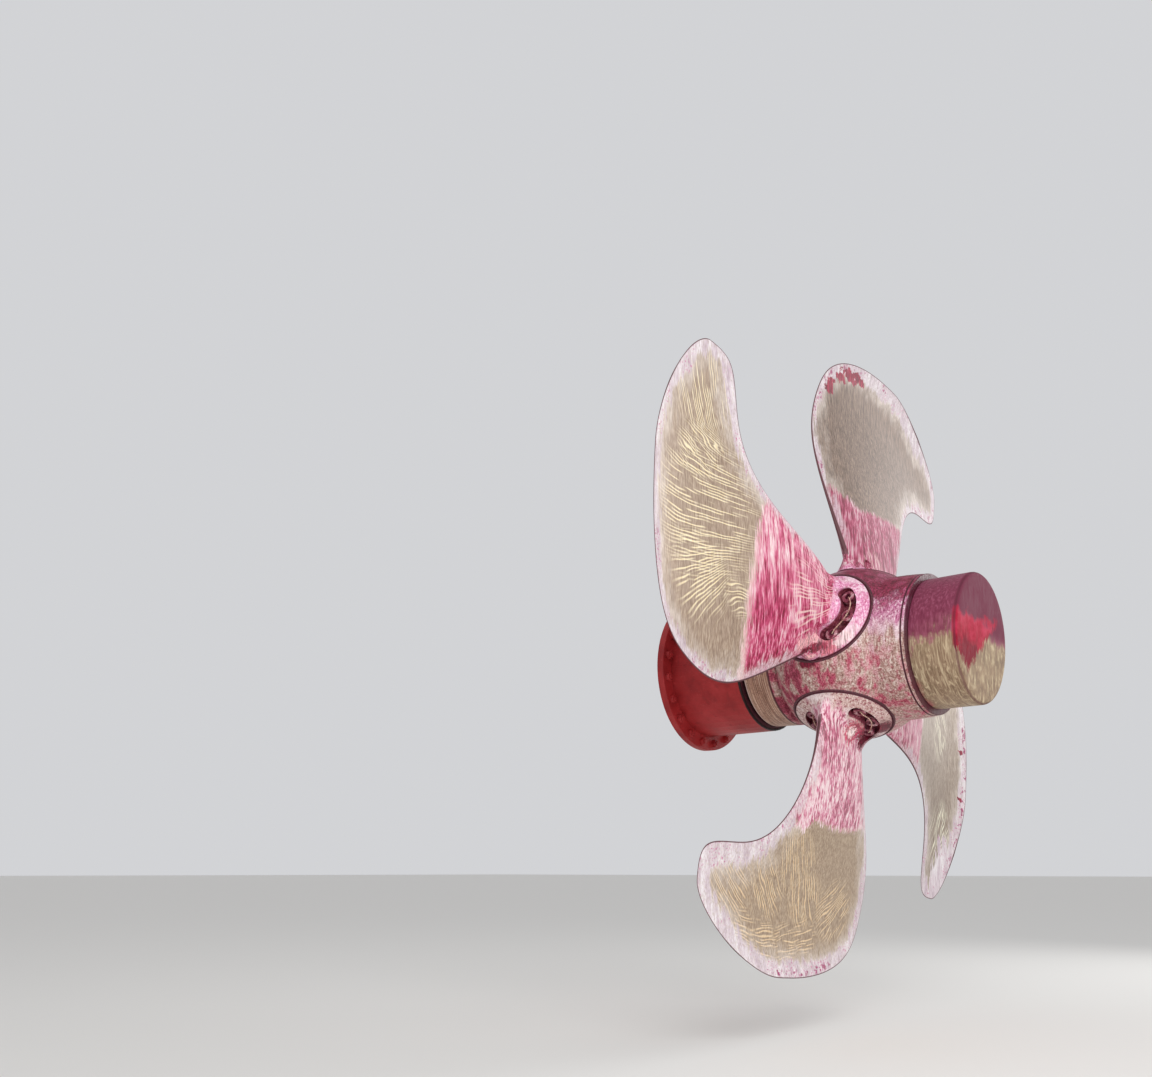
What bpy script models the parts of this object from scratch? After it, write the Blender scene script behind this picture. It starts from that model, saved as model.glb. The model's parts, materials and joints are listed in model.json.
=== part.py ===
# Ship propeller with four controllable-pitch blades, hub, tail shaft end,
# stern tube end, aft seal and rope guard. Lengths in metres, angles in degrees.
# +X points aft along the shaft, +Z up. The origin lies on the forward face of
# the stern tube flange, straight below the shaft axis.
import bpy
import bmesh
import numpy as np
from math import cos, pi, radians, sqrt
from mathutils import Matrix

# Propeller
propellerRadius = 2.0
bladeCount = 4
firstBladeAngle = 23.0
pitchSetting = -26.5

# Blade outline: share of propeller radius, leading edge angle, trailing edge angle
outlineStations = (
    (0.25, -25.5, 25.2),
    (0.32, -28.5, 19.6),
    (0.45, -31.9, 14.1),
    (0.60, -32.1, 13.9),
    (0.75, -26.5, 19.6),
    (0.88, -16.5, 26.7),
    (0.96, -3.0, 24.2),
)
tipAngle = 12.0
tipChord = 0.04
# Share of propeller radius, pitch over diameter, rake over radius, share of root thickness
sectionStations = (
    (0.25, 0.41, -0.006, 1.00),
    (0.40, 0.76, -0.004, 0.70),
    (0.55, 1.00, -0.020, 0.48),
    (0.70, 1.16, -0.045, 0.31),
    (0.85, 1.26, -0.059, 0.19),
    (1.00, 1.34, -0.047, 0.09),
)
rootThickness = 0.170
camberShare = 0.018
edgeShare = 0.05
swellPower = 1.3
edgePower = 0.4
tipThinning = 0.65

# Blade foot
palmRadius = 0.271
palmThickness = 0.075
palmChamfer = 0.004
spigotRadius = 0.120
spigotLength = 0.055
rootHeight = 0.062
filletReach = 0.085

# Bolt pockets, one on each side of the blade, turned from the shaft line
pocketCircle = 0.168
pocketWidth = 0.080
pocketSpan = 104.0
pocketDepth = 0.060
pocketRoof = 0.058
aftPocketAngle = -40.0
forePocketAngle = 160.0

# Hub
hubRadius = 0.489
hubForeLength = 0.318
foreRingLength = 0.057
foreRingBevel = 0.027
grooveDepth = 0.020
hubAftLength = 0.452
hubAftRadius = 0.392
hubAftSwell = 0.010
aftRingLength = 0.0235
aftRingRadius = 0.3905
capLength = 0.2625
capRadius = 0.357
capWall = 0.045
capEdge = 0.026
capEndThickness = 0.060
sealWidth = 0.014
sealSink = 0.006
palmClearance = 0.001
spigotClearance = 0.002

# Shaft and stern gear
flangeRingLength = 0.171
flangeRingRadius = 0.372
flangeRingTaper = 0.005
flangeRingEase = 0.006
shaftRadius = 0.190
linerWall = 0.022
linerLength = 0.235
runningGap = 0.016
tubeFlangeRadius = 0.480
tubeFlangeThickness = 0.045
tubeRadius = 0.330
tubeWall = 0.060
tubeLength = 0.290
tubeFillet = 0.020
shaftRecess = 0.010
bushRecess = 0.012
bushClearance = 0.0003
sealBodyRadius = 0.325
sealFlangeLength = 0.050
sealSetback = 0.003
sealClearance = 0.006
guardStep = 0.020
guardWall = 0.012

# Fits and mesh
seatGap = 0.0003
edgeBreak = 0.004
mergeDistance = 0.00005
ringSegments = 48
halfSegments = 24
perimeterPoints = 32
bladeRings = 18
ballRings = 10
pocketArcPoints = 9
capEdgePoints = 6

# Places along the shaft, measured aft from the blade plane
hubForeEnd = -hubForeLength
foreRingAft = hubForeEnd - seatGap
foreRingEnd = foreRingAft - foreRingLength
flangeRingAft = foreRingEnd - seatGap
flangeRingEnd = flangeRingAft - flangeRingLength
guardEnd = flangeRingEnd - runningGap
linerAft = flangeRingEnd - seatGap
linerEnd = linerAft - linerLength
tubeEnd = linerEnd - edgeBreak
flangeFace = tubeEnd - tubeLength
flangeAft = flangeFace + tubeFlangeThickness
aftRingStart = hubAftLength + seatGap
capStart = aftRingStart + aftRingLength + seatGap
capEnd = capStart + capLength
hubStation = -flangeFace

# Heights and radii that follow
shaftHeight = 0.5 * (tubeFlangeRadius + tubeRadius)
ballAtForeEnd = sqrt(hubRadius ** 2 - hubForeLength ** 2)
palmHeight = sqrt(hubRadius ** 2 - palmRadius ** 2)
palmUnderside = palmHeight - palmThickness
sealInside = (palmRadius + palmClearance) / cos(pi / ringSegments)
portRadius = sealInside + sealWidth + seatGap
linerRadius = shaftRadius + linerWall
tubeBore = tubeRadius - tubeWall
guardRadius = flangeRingRadius + guardStep
guardInside = guardRadius - guardWall


def makeMaterial(name, colour, metallic, roughness):
    material = bpy.data.materials.new(name)
    material.use_nodes = True
    shader = material.node_tree.nodes["Principled BSDF"]
    shader.inputs["Base Color"].default_value = (*colour, 1.0)
    shader.inputs["Metallic"].default_value = metallic
    shader.inputs["Roughness"].default_value = roughness
    material.diffuse_color = (*colour, 1.0)
    return material


def linkMesh(name, mesh, collection, material=None, sharpAngle=35.0):
    mesh.shade_smooth()
    mesh.set_sharp_from_angle(angle=radians(sharpAngle))
    if material:
        mesh.materials.append(material)
    item = bpy.data.objects.new(name, mesh)
    collection.objects.link(item)
    return item


def meshFromNet(name, points, faces, collection, material=None):
    mesh = bpy.data.meshes.new(name)
    mesh.from_pydata([tuple(point) for point in points], [], faces)
    return linkMesh(name, mesh, collection, material)


def turnedRing(name, profile, material):
    # The profile is (height, radius), its outer side running down. It closes on
    # itself, or starts and ends on the axis, and turns once about Z.
    mesh = bpy.data.meshes.new(name)
    count = len(profile)
    edges = [(i, i + 1) for i in range(count - 1)]
    if profile[0][1] > 0.0:
        edges.append((count - 1, 0))
    mesh.from_pydata([(radius, 0.0, height) for height, radius in profile], edges, [])
    mesh.materials.append(material)
    item = bpy.data.objects.new(name, mesh)
    parts.objects.link(item)
    screw = item.modifiers.new("Turn", "SCREW")
    screw.axis = "Z"
    screw.angle = radians(360.0)
    screw.steps = ringSegments
    screw.render_steps = ringSegments
    screw.use_merge_vertices = True
    screw.merge_threshold = mergeDistance
    screw.use_smooth_shade = True
    return item


def turnedPiece(name, profile, material):
    # A turned ring laid along the shaft, its profile running forward outside
    item = turnedRing(name, profile, material)
    item.parent = shaftFrame
    item.rotation_euler = (0.0, radians(90.0), 0.0)
    return item


def drum(name, radius, bottom, top):
    # Upright cylinder between two heights, used as a cutter
    builder = bmesh.new()
    bmesh.ops.create_cone(
        builder, cap_ends=True, segments=ringSegments, radius1=radius, radius2=radius,
        depth=top - bottom, matrix=Matrix.Translation((0.0, 0.0, 0.5 * (top + bottom))))
    mesh = bpy.data.meshes.new(name)
    builder.to_mesh(mesh)
    builder.free()
    return linkMesh(name, mesh, cutters)


def cutWith(item, cutter):
    boolean = item.modifiers.new("Cut " + cutter.name, "BOOLEAN")
    boolean.operation = "DIFFERENCE"
    boolean.solver = "EXACT"
    boolean.object = cutter


def smoothThrough(stations, values, at):
    # Natural cubic spline through the stations
    count = len(stations)
    step = np.diff(stations)
    rise = np.diff(values) / step
    matrix = np.eye(count)
    right = np.zeros(count)
    for i in range(1, count - 1):
        matrix[i, i - 1:i + 2] = step[i - 1], 2.0 * (step[i - 1] + step[i]), step[i]
        right[i] = 6.0 * (rise[i] - rise[i - 1])
    bend = np.linalg.solve(matrix, right)
    at = min(max(at, stations[0]), stations[-1])
    k = min(int(np.searchsorted(stations, at, side="right")) - 1, count - 2)
    a = (stations[k + 1] - at) / step[k]
    b = 1.0 - a
    curve = ((a ** 3 - a) * bend[k] + (b ** 3 - b) * bend[k + 1]) * step[k] ** 2 / 6.0
    return a * values[k] + b * values[k + 1] + curve


def bladeSection(radius, around):
    # Blade section on a cylinder about the shaft, with the spindle along Z. The
    # angle around runs from the trailing edge over the aft side and back.
    outline = np.array(outlineStations).T
    section = np.array(sectionStations).T
    share = radius / propellerRadius
    last = outline[0, -1]
    closing = sqrt(1.0 - (max(share - last, 0.0) / (1.0 - last)) ** 2)
    halfTip = np.degrees(0.5 * tipChord / propellerRadius)
    lead = smoothThrough(outline[0], outline[1], min(share, last))
    trail = smoothThrough(outline[0], outline[2], min(share, last))
    lead = tipAngle - halfTip + (lead - tipAngle + halfTip) * closing
    trail = tipAngle + halfTip + (trail - tipAngle - halfTip) * closing
    pitch = smoothThrough(section[0], section[1], share) * 2.0 * propellerRadius
    rake = smoothThrough(section[0], section[2], share) * propellerRadius
    thickness = smoothThrough(section[0], section[3], share) * rootThickness
    thickness *= 1.0 - tipThinning * (1.0 - closing)
    slope = np.arctan2(pitch, 2.0 * np.pi * radius)
    halfChord = 0.5 * np.radians(trail - lead) * radius / np.cos(slope)
    middle = 0.5 * np.radians(trail + lead) * radius / np.cos(slope)
    along = np.cos(around)
    side = np.sign(np.sin(around))
    swell = np.abs(np.sin(around))
    offset = (1.0 - edgeShare) * swell ** swellPower + edgeShare * swell ** edgePower
    offset = 0.5 * side * thickness * offset - 2.0 * camberShare * halfChord * swell ** 2
    path = middle + halfChord * along
    axial = rake + path * np.sin(slope) + offset * np.cos(slope)
    angle = (path * np.cos(slope) - offset * np.sin(slope)) / radius
    return np.column_stack([axial, radius * np.sin(angle), radius * np.cos(angle)])


def ballHeight(plan):
    return np.sqrt(hubRadius ** 2 - np.sum(plan ** 2, axis=1))


def bladeNet():
    # Foot, fillet and blade are one closed net: rings of points from the spigot
    # up over the round foot, in to the blade root and out to the tip.
    around = np.arange(perimeterPoints) * 2.0 * np.pi / perimeterPoints
    rootRadius = hubRadius + rootHeight
    root = bladeSection(rootRadius, around)
    chordLine = root[0] - root[perimeterPoints // 2]
    turn = np.arctan2(chordLine[0], chordLine[1])
    circle = np.column_stack([np.sin(around + turn), np.cos(around + turn)])
    footProfile = (
        (spigotRadius - palmChamfer, palmUnderside - spigotLength),
        (spigotRadius, palmUnderside - spigotLength + palmChamfer),
        (spigotRadius, palmUnderside),
        (palmRadius - palmChamfer, palmUnderside),
        (palmRadius, palmUnderside + palmChamfer),
        (palmRadius, palmHeight - palmChamfer),
    )
    rings = []
    for radius, height in footProfile:
        rings.append(np.column_stack([circle * radius, np.full(perimeterPoints, height)]))
    rim = circle * (palmRadius - palmChamfer)
    gap = np.linalg.norm(rim - root[:, :2], axis=1)
    reach = np.minimum(filletReach, 0.8 * gap)
    start = root[:, :2] + (rim - root[:, :2]) * (reach / gap)[:, None]
    for share in (0.0, 0.4, 0.75):
        plan = rim + (start - rim) * share
        rings.append(np.column_stack([plan, ballHeight(plan)]))
    rise = root[:, 2] - ballHeight(root[:, :2])
    for angle in np.radians((0.0, 22.5, 45.0, 67.5, 90.0)):
        plan = start + (root[:, :2] - start) * np.sin(angle)
        height = ballHeight(plan) + rise * (1.0 - np.cos(angle))
        rings.append(np.column_stack([plan, height]))
    for share in np.sin(np.linspace(0.0, 0.5 * np.pi, bladeRings + 1)[1:]):
        rings.append(bladeSection(rootRadius + (propellerRadius - rootRadius) * share, around))

    faces = [tuple(range(perimeterPoints))]
    for ring in range(len(rings) - 1):
        base = ring * perimeterPoints
        top = base + perimeterPoints
        for i in range(perimeterPoints):
            j = (i + 1) % perimeterPoints
            faces.append((base + j, base + i, top + i, top + j))
    # The tip closes with strips from the aft side to the forward side
    last = (len(rings) - 1) * perimeterPoints
    half = perimeterPoints // 2
    faces.append((last + 1, last, last + perimeterPoints - 1))
    for i in range(1, half - 1):
        j = perimeterPoints - i
        faces.append((last + i + 1, last + i, last + j, last + j - 1))
    faces.append((last + half, last + half - 1, last + half + 1))
    return np.vstack(rings), faces


def pocketCutter(name, middleAngle):
    # Curved slot with round ends on the bolt circle of the foot, roofed where it
    # runs in under the blade
    first = radians(middleAngle - 0.5 * pocketSpan)
    last = radians(middleAngle + 0.5 * pocketSpan)
    spread = 0.5 * pocketWidth

    def arc(centreAngle, radius, angles):
        centre = pocketCircle * np.array([np.cos(centreAngle), np.sin(centreAngle)])
        return centre + radius * np.column_stack([np.cos(angles), np.sin(angles)])

    along = np.linspace(first, last, pocketArcPoints)
    outward = np.column_stack([np.cos(along), np.sin(along)])
    roundEnd = np.radians((30.0, 60.0, 90.0, 120.0, 150.0))
    outline = np.vstack([
        outward * (pocketCircle + spread),
        arc(last, spread, last + roundEnd),
        outward[::-1] * (pocketCircle - spread),
        arc(first, spread, first + pi + roundEnd),
    ])
    count = len(outline)
    floor = sqrt(hubRadius ** 2 - pocketCircle ** 2) - pocketDepth
    ceiling = hubRadius + pocketRoof
    points = [(x, y, floor) for x, y in outline] + [(x, y, ceiling) for x, y in outline]
    faces = [tuple(range(count))[::-1], tuple(range(count, 2 * count))]
    for i in range(count):
        j = (i + 1) % count
        faces.append((i, j, count + j, count + i))
    return meshFromNet(name, points, faces, cutters)


def guardHalf(name, startAngle):
    # Half shell that seats on the seal housing at its aft end
    split = np.degrees(seatGap / guardInside)
    angles = np.radians(np.linspace(startAngle + split, startAngle + 180.0 - split, halfSegments + 1))
    front = flangeAft + seatGap
    profile = (
        (front, guardInside),
        (guardEnd, guardInside),
        (guardEnd, guardRadius - edgeBreak),
        (guardEnd - edgeBreak, guardRadius),
        (front, guardRadius),
    )
    count = len(profile)
    points = [(x, r * np.cos(angle), r * np.sin(angle)) for angle in angles for x, r in profile]
    faces = [tuple(range(count))[::-1], tuple(range(halfSegments * count, (halfSegments + 1) * count))]
    for ring in range(halfSegments):
        base = ring * count
        for i in range(count):
            j = (i + 1) % count
            faces.append((base + i, base + j, base + count + j, base + count + i))
    half = meshFromNet(name, points, faces, parts, paintedSteel)
    half.parent = shaftFrame


def sternFlange():
    inside = tubeRadius + seatGap
    turnedPiece("stern_flange", [
        (flangeFace, inside),
        (flangeAft + tubeFillet, inside),
        (flangeAft, inside + tubeFillet),
        (flangeAft, tubeFlangeRadius - edgeBreak),
        (flangeAft - edgeBreak, tubeFlangeRadius),
        (flangeFace, tubeFlangeRadius),
    ], paintedSteel)


def sternTube():
    turnedPiece("stern_tube", [
        (flangeFace, tubeBore),
        (tubeEnd, tubeBore),
        (tubeEnd, tubeRadius - edgeBreak),
        (tubeEnd - edgeBreak, tubeRadius),
        (flangeFace, tubeRadius),
    ], paintedSteel)


def sternTubeBush():
    inside = (shaftRadius + bushClearance) / cos(pi / ringSegments)
    turnedPiece("stern_tube_bush", [
        (flangeFace + bushRecess, inside),
        (tubeEnd, inside),
        (tubeEnd, tubeBore - seatGap),
        (flangeFace + bushRecess, tubeBore - seatGap),
    ], bearingMetal)


def aftSealHousing():
    inside = linerRadius + sealClearance
    aft = guardEnd - sealSetback
    outside = guardInside - seatGap
    turnedPiece("aft_seal_housing", [
        (tubeEnd + seatGap, inside),
        (aft, inside),
        (aft, outside - edgeBreak),
        (aft - edgeBreak, outside),
        (aft - sealFlangeLength, outside),
        (aft - sealFlangeLength, sealBodyRadius),
        (tubeEnd + seatGap, sealBodyRadius),
    ], darkRubber)


def propellerShaft():
    turnedPiece("propeller_shaft", [
        (foreRingAft, 0.0),
        (foreRingAft, shaftRadius),
        (flangeFace + shaftRecess + edgeBreak, shaftRadius),
        (flangeFace + shaftRecess, shaftRadius - edgeBreak),
        (flangeFace + shaftRecess, 0.0),
    ], forgedSteel)


def sealLiner():
    inside = shaftRadius + seatGap
    turnedPiece("seal_liner", [
        (linerEnd, inside),
        (linerAft, inside),
        (linerAft, linerRadius),
        (linerEnd + edgeBreak, linerRadius),
        (linerEnd, linerRadius - edgeBreak),
    ], chromeSteel)


def shaftFlangeRing():
    inside = shaftRadius + seatGap
    foreRadius = flangeRingRadius - flangeRingTaper
    turnedPiece("shaft_flange_ring", [
        (flangeRingEnd, inside),
        (flangeRingAft, inside),
        (flangeRingAft, flangeRingRadius),
        (flangeRingEnd + flangeRingEase, foreRadius),
        (flangeRingEnd, foreRadius - flangeRingEase),
    ], ringBronze)


def hubForeRing():
    # Its bevel and the hub's forward edge leave a groove between them
    inside = shaftRadius + seatGap
    turnedPiece("hub_fore_ring", [
        (foreRingEnd, inside),
        (foreRingAft, inside),
        (foreRingAft, ballAtForeEnd - grooveDepth),
        (foreRingAft - foreRingBevel, flangeRingRadius),
        (foreRingEnd, flangeRingRadius),
    ], hubBronze)


def hubBody(portCutters):
    # A ball in the middle that runs out to a round neck at each end
    aftMeet = sqrt(hubRadius ** 2 - (hubAftRadius + hubAftSwell) ** 2)
    ball = []
    for along in np.linspace(aftMeet, hubForeEnd + edgeBreak, ballRings + 1):
        ball.append((along, sqrt(hubRadius ** 2 - along ** 2)))
    neck = []
    for share in (1.0, 0.66, 0.33):
        neck.append((aftMeet + (hubAftLength - aftMeet) * share,
                     hubAftRadius + hubAftSwell * (1.0 - share ** 2)))
    foreEdge = [(hubForeEnd, ballAtForeEnd - grooveDepth), (hubForeEnd, 0.0)]
    body = turnedPiece("hub_body", [(hubAftLength, 0.0)] + neck + ball + foreEdge, hubBronze)
    for cutter in portCutters:
        cutWith(body, cutter)


def hubAftRing():
    aft = aftRingStart + aftRingLength
    turnedPiece("hub_aft_ring", [
        (aft, 0.0),
        (aft, aftRingRadius - edgeBreak),
        (aft - edgeBreak, aftRingRadius),
        (aftRingStart + edgeBreak, aftRingRadius),
        (aftRingStart, aftRingRadius - edgeBreak),
        (aftRingStart, 0.0),
    ], hubBronze)


def hubCap():
    # A cup that opens towards the hub
    profile = [(capEnd, 0.0)]
    for angle in np.radians(np.linspace(0.0, 90.0, capEdgePoints)):
        profile.append((capEnd - capEdge * (1.0 - np.cos(angle)),
                        capRadius - capEdge * (1.0 - np.sin(angle))))
    profile += [
        (capStart, capRadius),
        (capStart, capRadius - capWall),
        (capEnd - capEndThickness, capRadius - capWall),
        (capEnd - capEndThickness, 0.0),
    ]
    turnedPiece("hub_cap", profile, capBronze)


def bladeSeal(name, frame):
    # Dark ring in the groove between the foot and its port
    outside = sealInside + sealWidth
    top = palmHeight - sealSink
    seal = turnedRing(name, [
        (palmUnderside, sealInside),
        (top, sealInside),
        (top, outside),
        (palmUnderside, outside),
    ], darkRubber)
    seal.parent = frame


def bladeSet():
    # Each blade and its seal stand on a frame whose Z axis is the blade spindle
    points, faces = bladeNet()
    pockets = [pocketCutter("pocket_aft", aftPocketAngle), pocketCutter("pocket_fore", forePocketAngle)]
    portCutters = []
    for number in range(bladeCount):
        title = f"blade_{number + 1}"
        turn = 90.0 - firstBladeAngle - number * 360.0 / bladeCount
        seat = bpy.data.objects.new(title + "_seat", None)
        parts.objects.link(seat)
        seat.parent = shaftFrame
        seat.rotation_euler = (radians(turn), 0.0, 0.0)
        port = drum(title + "_port", portRadius, palmUnderside - seatGap, hubRadius + filletReach)
        socket = drum(title + "_socket", spigotRadius + spigotClearance,
                      palmUnderside - spigotLength - spigotClearance, hubRadius)
        for cutter in (port, socket):
            cutter.parent = seat
            portCutters.append(cutter)
        bladeSeal(title + "_seal", seat)
        spindle = bpy.data.objects.new(title + "_spindle", None)
        parts.objects.link(spindle)
        spindle.parent = seat
        spindle.rotation_euler = (0.0, 0.0, radians(-pitchSetting))
        blade = meshFromNet(title, points, faces, parts, bladeBronze)
        blade.parent = spindle
        for cutter in pockets:
            local = cutter if number == 0 else cutter.copy()
            if number:
                cutters.objects.link(local)
            local.parent = spindle
            cutWith(blade, local)
    return portCutters


for item in list(bpy.data.objects):
    bpy.data.objects.remove(item, do_unlink=True)

parts = bpy.data.collections.new("ship_propeller")
cutters = bpy.data.collections.new("cutters")
bpy.context.scene.collection.children.link(parts)
bpy.context.scene.collection.children.link(cutters)

bladeBronze = makeMaterial("blade_bronze", (0.52, 0.42, 0.34), 0.6, 0.45)
hubBronze = makeMaterial("hub_bronze", (0.55, 0.40, 0.36), 0.5, 0.5)
ringBronze = makeMaterial("ring_bronze", (0.34, 0.25, 0.16), 0.6, 0.45)
capBronze = makeMaterial("cap_bronze", (0.36, 0.24, 0.22), 0.6, 0.45)
forgedSteel = makeMaterial("forged_steel", (0.42, 0.42, 0.43), 0.9, 0.35)
chromeSteel = makeMaterial("chrome_steel", (0.60, 0.60, 0.62), 1.0, 0.2)
paintedSteel = makeMaterial("painted_steel", (0.36, 0.04, 0.04), 0.0, 0.6)
darkRubber = makeMaterial("dark_rubber", (0.02, 0.012, 0.015), 0.0, 0.7)
bearingMetal = makeMaterial("bearing_metal", (0.45, 0.40, 0.30), 0.7, 0.5)

# Everything stands on one frame on the shaft axis at the blade plane
shaftFrame = bpy.data.objects.new("shaft_frame", None)
parts.objects.link(shaftFrame)
shaftFrame.location = (hubStation, 0.0, shaftHeight)

sternFlange()
sternTube()
sternTubeBush()
aftSealHousing()
guardHalf("rope_guard_upper", 0.0)
guardHalf("rope_guard_lower", 180.0)
propellerShaft()
sealLiner()
shaftFlangeRing()
hubForeRing()
hubBody(bladeSet())
hubAftRing()
hubCap()

for cutter in cutters.objects:
    cutter.hide_render = True
    cutter.display_type = "WIRE"
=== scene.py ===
# Ship propeller: four bronze blades on a round hub, with cap, seal and stern gear.
# Metres throughout, +X aft along the shaft, +Z up.
import json
import bpy
import bmesh
import numpy as np
from math import pi, radians, sqrt
from mathutils import Matrix, Vector


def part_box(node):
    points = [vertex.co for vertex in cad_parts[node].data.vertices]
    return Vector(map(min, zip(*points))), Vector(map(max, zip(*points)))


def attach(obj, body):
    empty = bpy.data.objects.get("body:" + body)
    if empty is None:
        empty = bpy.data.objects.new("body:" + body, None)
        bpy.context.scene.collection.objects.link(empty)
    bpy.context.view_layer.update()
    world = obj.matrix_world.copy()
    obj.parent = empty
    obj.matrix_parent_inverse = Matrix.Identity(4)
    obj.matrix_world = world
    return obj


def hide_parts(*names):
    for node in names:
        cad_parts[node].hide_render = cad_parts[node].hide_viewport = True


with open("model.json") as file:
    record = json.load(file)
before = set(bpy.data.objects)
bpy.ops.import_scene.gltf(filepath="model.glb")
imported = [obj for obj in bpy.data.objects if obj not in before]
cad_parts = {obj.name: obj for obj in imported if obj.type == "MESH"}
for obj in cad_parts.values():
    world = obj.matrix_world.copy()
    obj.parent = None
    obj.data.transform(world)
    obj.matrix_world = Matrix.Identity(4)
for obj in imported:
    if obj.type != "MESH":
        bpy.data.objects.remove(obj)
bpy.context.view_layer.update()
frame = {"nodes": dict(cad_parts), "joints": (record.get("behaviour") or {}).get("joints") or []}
print("frame loaded with", len(frame["nodes"]), "nodes")

joints = {joint["name"]: joint for joint in frame["joints"]}
hubCentre = np.array(joints["shaft_spin"]["pos_m"], float)
shaftHeight = hubCentre[2]
bodyNames = ["first_blade", "second_blade", "third_blade", "fourth_blade"]
touchGap = 0.0003        # between pieces that touch, so that they share no face
mergeReach = 0.000002    # points nearer than this are one


# Node helpers. Colours are (red, green, blue), 0 to 255, as read off a screen.

class Output:
    # A node's output that takes plain sums: each +, -, * and abs adds a Math node
    def __init__(self, socket):
        self.socket = socket
        self.tree = socket.id_data

    def __add__(self, other):
        return compute("ADD", self, other)

    def __sub__(self, other):
        return compute("SUBTRACT", self, other)

    def __rsub__(self, other):
        return compute("SUBTRACT", other, self)

    def __mul__(self, other):
        return compute("MULTIPLY", self, other)

    def __abs__(self):
        return compute("ABSOLUTE", self)


def plug(node, inputs):
    # Links an output to its input, and sets a plain value on it
    for name, value in inputs.items():
        if isinstance(value, Output):
            node.id_data.links.new(value.socket, node.inputs[name])
        else:
            node.inputs[name].default_value = value


def addNode(tree, kind, inputs, output=0, **settings):
    node = tree.nodes.new(kind)
    for name, value in settings.items():
        setattr(node, name, value)
    plug(node, inputs)
    return Output(node.outputs[output])


def compute(operation, first, second=0.0):
    tree = first.tree if isinstance(first, Output) else second.tree
    return addNode(tree, "ShaderNodeMath", {0: first, 1: second}, operation=operation)


def vectorMath(operation, first, second=(0.0, 0.0, 0.0)):
    output = "Value" if operation in ("DISTANCE", "LENGTH") else "Vector"
    return addNode(first.tree, "ShaderNodeVectorMath", {0: first, 1: second}, output, operation=operation)


def combined(x, y, z=0.0):
    return addNode(x.tree, "ShaderNodeCombineXYZ", {0: x, 1: y, 2: z})


def parts(place):
    # The x, y and z of a place
    split = addNode(place.tree, "ShaderNodeSeparateXYZ", {0: place}).socket.node
    return [Output(socket) for socket in split.outputs]


def fade(value, start, end):
    # 0 at start, 1 at end, smooth between
    inputs = {"Value": value, "From Min": start, "From Max": end}
    return addNode(value.tree, "ShaderNodeMapRange", inputs, interpolation_type="SMOOTHSTEP")


def spread(value, low=0.36, high=0.64):
    # Noise keeps near its middle, so that range is stretched to 0 to 1
    return addNode(value.tree, "ShaderNodeMapRange", {"Value": value, "From Min": low, "From Max": high})


def grain(place, scale, detail=3.0, roughness=0.6, distortion=0.0):
    inputs = {"Vector": place, "Scale": scale, "Detail": detail, "Roughness": roughness,
              "Distortion": distortion}
    return addNode(place.tree, "ShaderNodeTexNoise", inputs)


def stretched(place, scale, shift=(0.0, 0.0, 0.0)):
    inputs = {"Vector": place, "Scale": scale, "Location": shift}
    return addNode(place.tree, "ShaderNodeMapping", inputs)


def tone(colour):
    # A screen colour as the linear one that shaders take
    share = np.array(colour) / 255.0
    linear = np.where(share < 0.04045, share / 12.92, ((share + 0.055) / 1.055) ** 2.4)
    return (*linear.tolist(), 1.0)


def blend(share, below, above, **settings):
    if isinstance(above, tuple):
        above = tone(above)
    inputs = {0: share, 6: below, 7: above}
    return addNode(below.tree, "ShaderNodeMix", inputs, 2, data_type="RGBA", **settings)


def linearRamp(value, stops):
    ramp = addNode(value.tree, "ShaderNodeValToRGB", {0: value})
    elements = ramp.socket.node.color_ramp.elements
    while len(elements) < len(stops):
        elements.new(0.5)
    for element, (place, colour) in zip(elements, stops):
        element.position = place
        element.color = colour
    return ramp


def colourRamp(value, *stops):
    # Each stop is (place, red, green, blue)
    return linearRamp(value, [(place, tone(colour)) for place, *colour in stops])


def speckled(colour, grit, share):
    # Fine grit that lightens and darkens a colour alike
    shades = colourRamp(grit, (0.0, 40, 40, 40), (1.0, 235, 235, 235))
    return blend(share, colour, shades, blend_type="SOFT_LIGHT")


def mottled(value, colour):
    # A tone that runs from half as bright to somewhat brighter with the noise
    middle = tone(colour)
    dark = (*[0.5 * part for part in middle[:3]], 1.0)
    light = (*[min(1.0, 1.4 * part) for part in middle[:3]], 1.0)
    return linearRamp(value, ((0.1, dark), (0.5, middle), (0.9, light)))


def nearness(place, middle, reach):
    # 1 at the middle of a patch, 0 at its reach
    return fade(vectorMath("DISTANCE", place, (*middle, 0.0)), reach, 0.45 * reach)


def stainMask(place, rough, middle, size):
    # An oval with a ragged edge
    offset = vectorMath("SUBTRACT", place, (*middle, 0.0))
    offset = vectorMath("MULTIPLY", offset, (1.0 / size[0], 1.0 / size[1], 0.0))
    return fade(vectorMath("LENGTH", offset) + (rough - 0.5) * 0.8, 1.05, 0.85)


def spotted(colour, place, speck, fine, spots, home):
    # Round spots with ragged, soft edges and streaked tones: (place, reach, tone) each.
    # The matrix home carries their places to the object's own.
    for middle, reach, spotTone in spots:
        away = vectorMath("DISTANCE", place, home @ Vector(middle)) + (speck - 0.5) * (0.6 * reach)
        colour = blend(fade(away, 1.1 * reach, 0.5 * reach), colour, mottled(fine, spotTone))
    return colour


def seamShade(colour, along, places, width, shade):
    # Painted shade within a few millimetres of the joints at these places on the shaft
    for place in places:
        colour = blend(fade(abs(along - place), width, 0.55 * width) * 0.9, colour, shade)
    return colour


def newFinish(name):
    # A new material, and the place of its points on the object
    material = bpy.data.materials.new(name)
    material.use_nodes = True
    return material, addNode(material.node_tree, "ShaderNodeTexCoord", {}, "Object")


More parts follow.
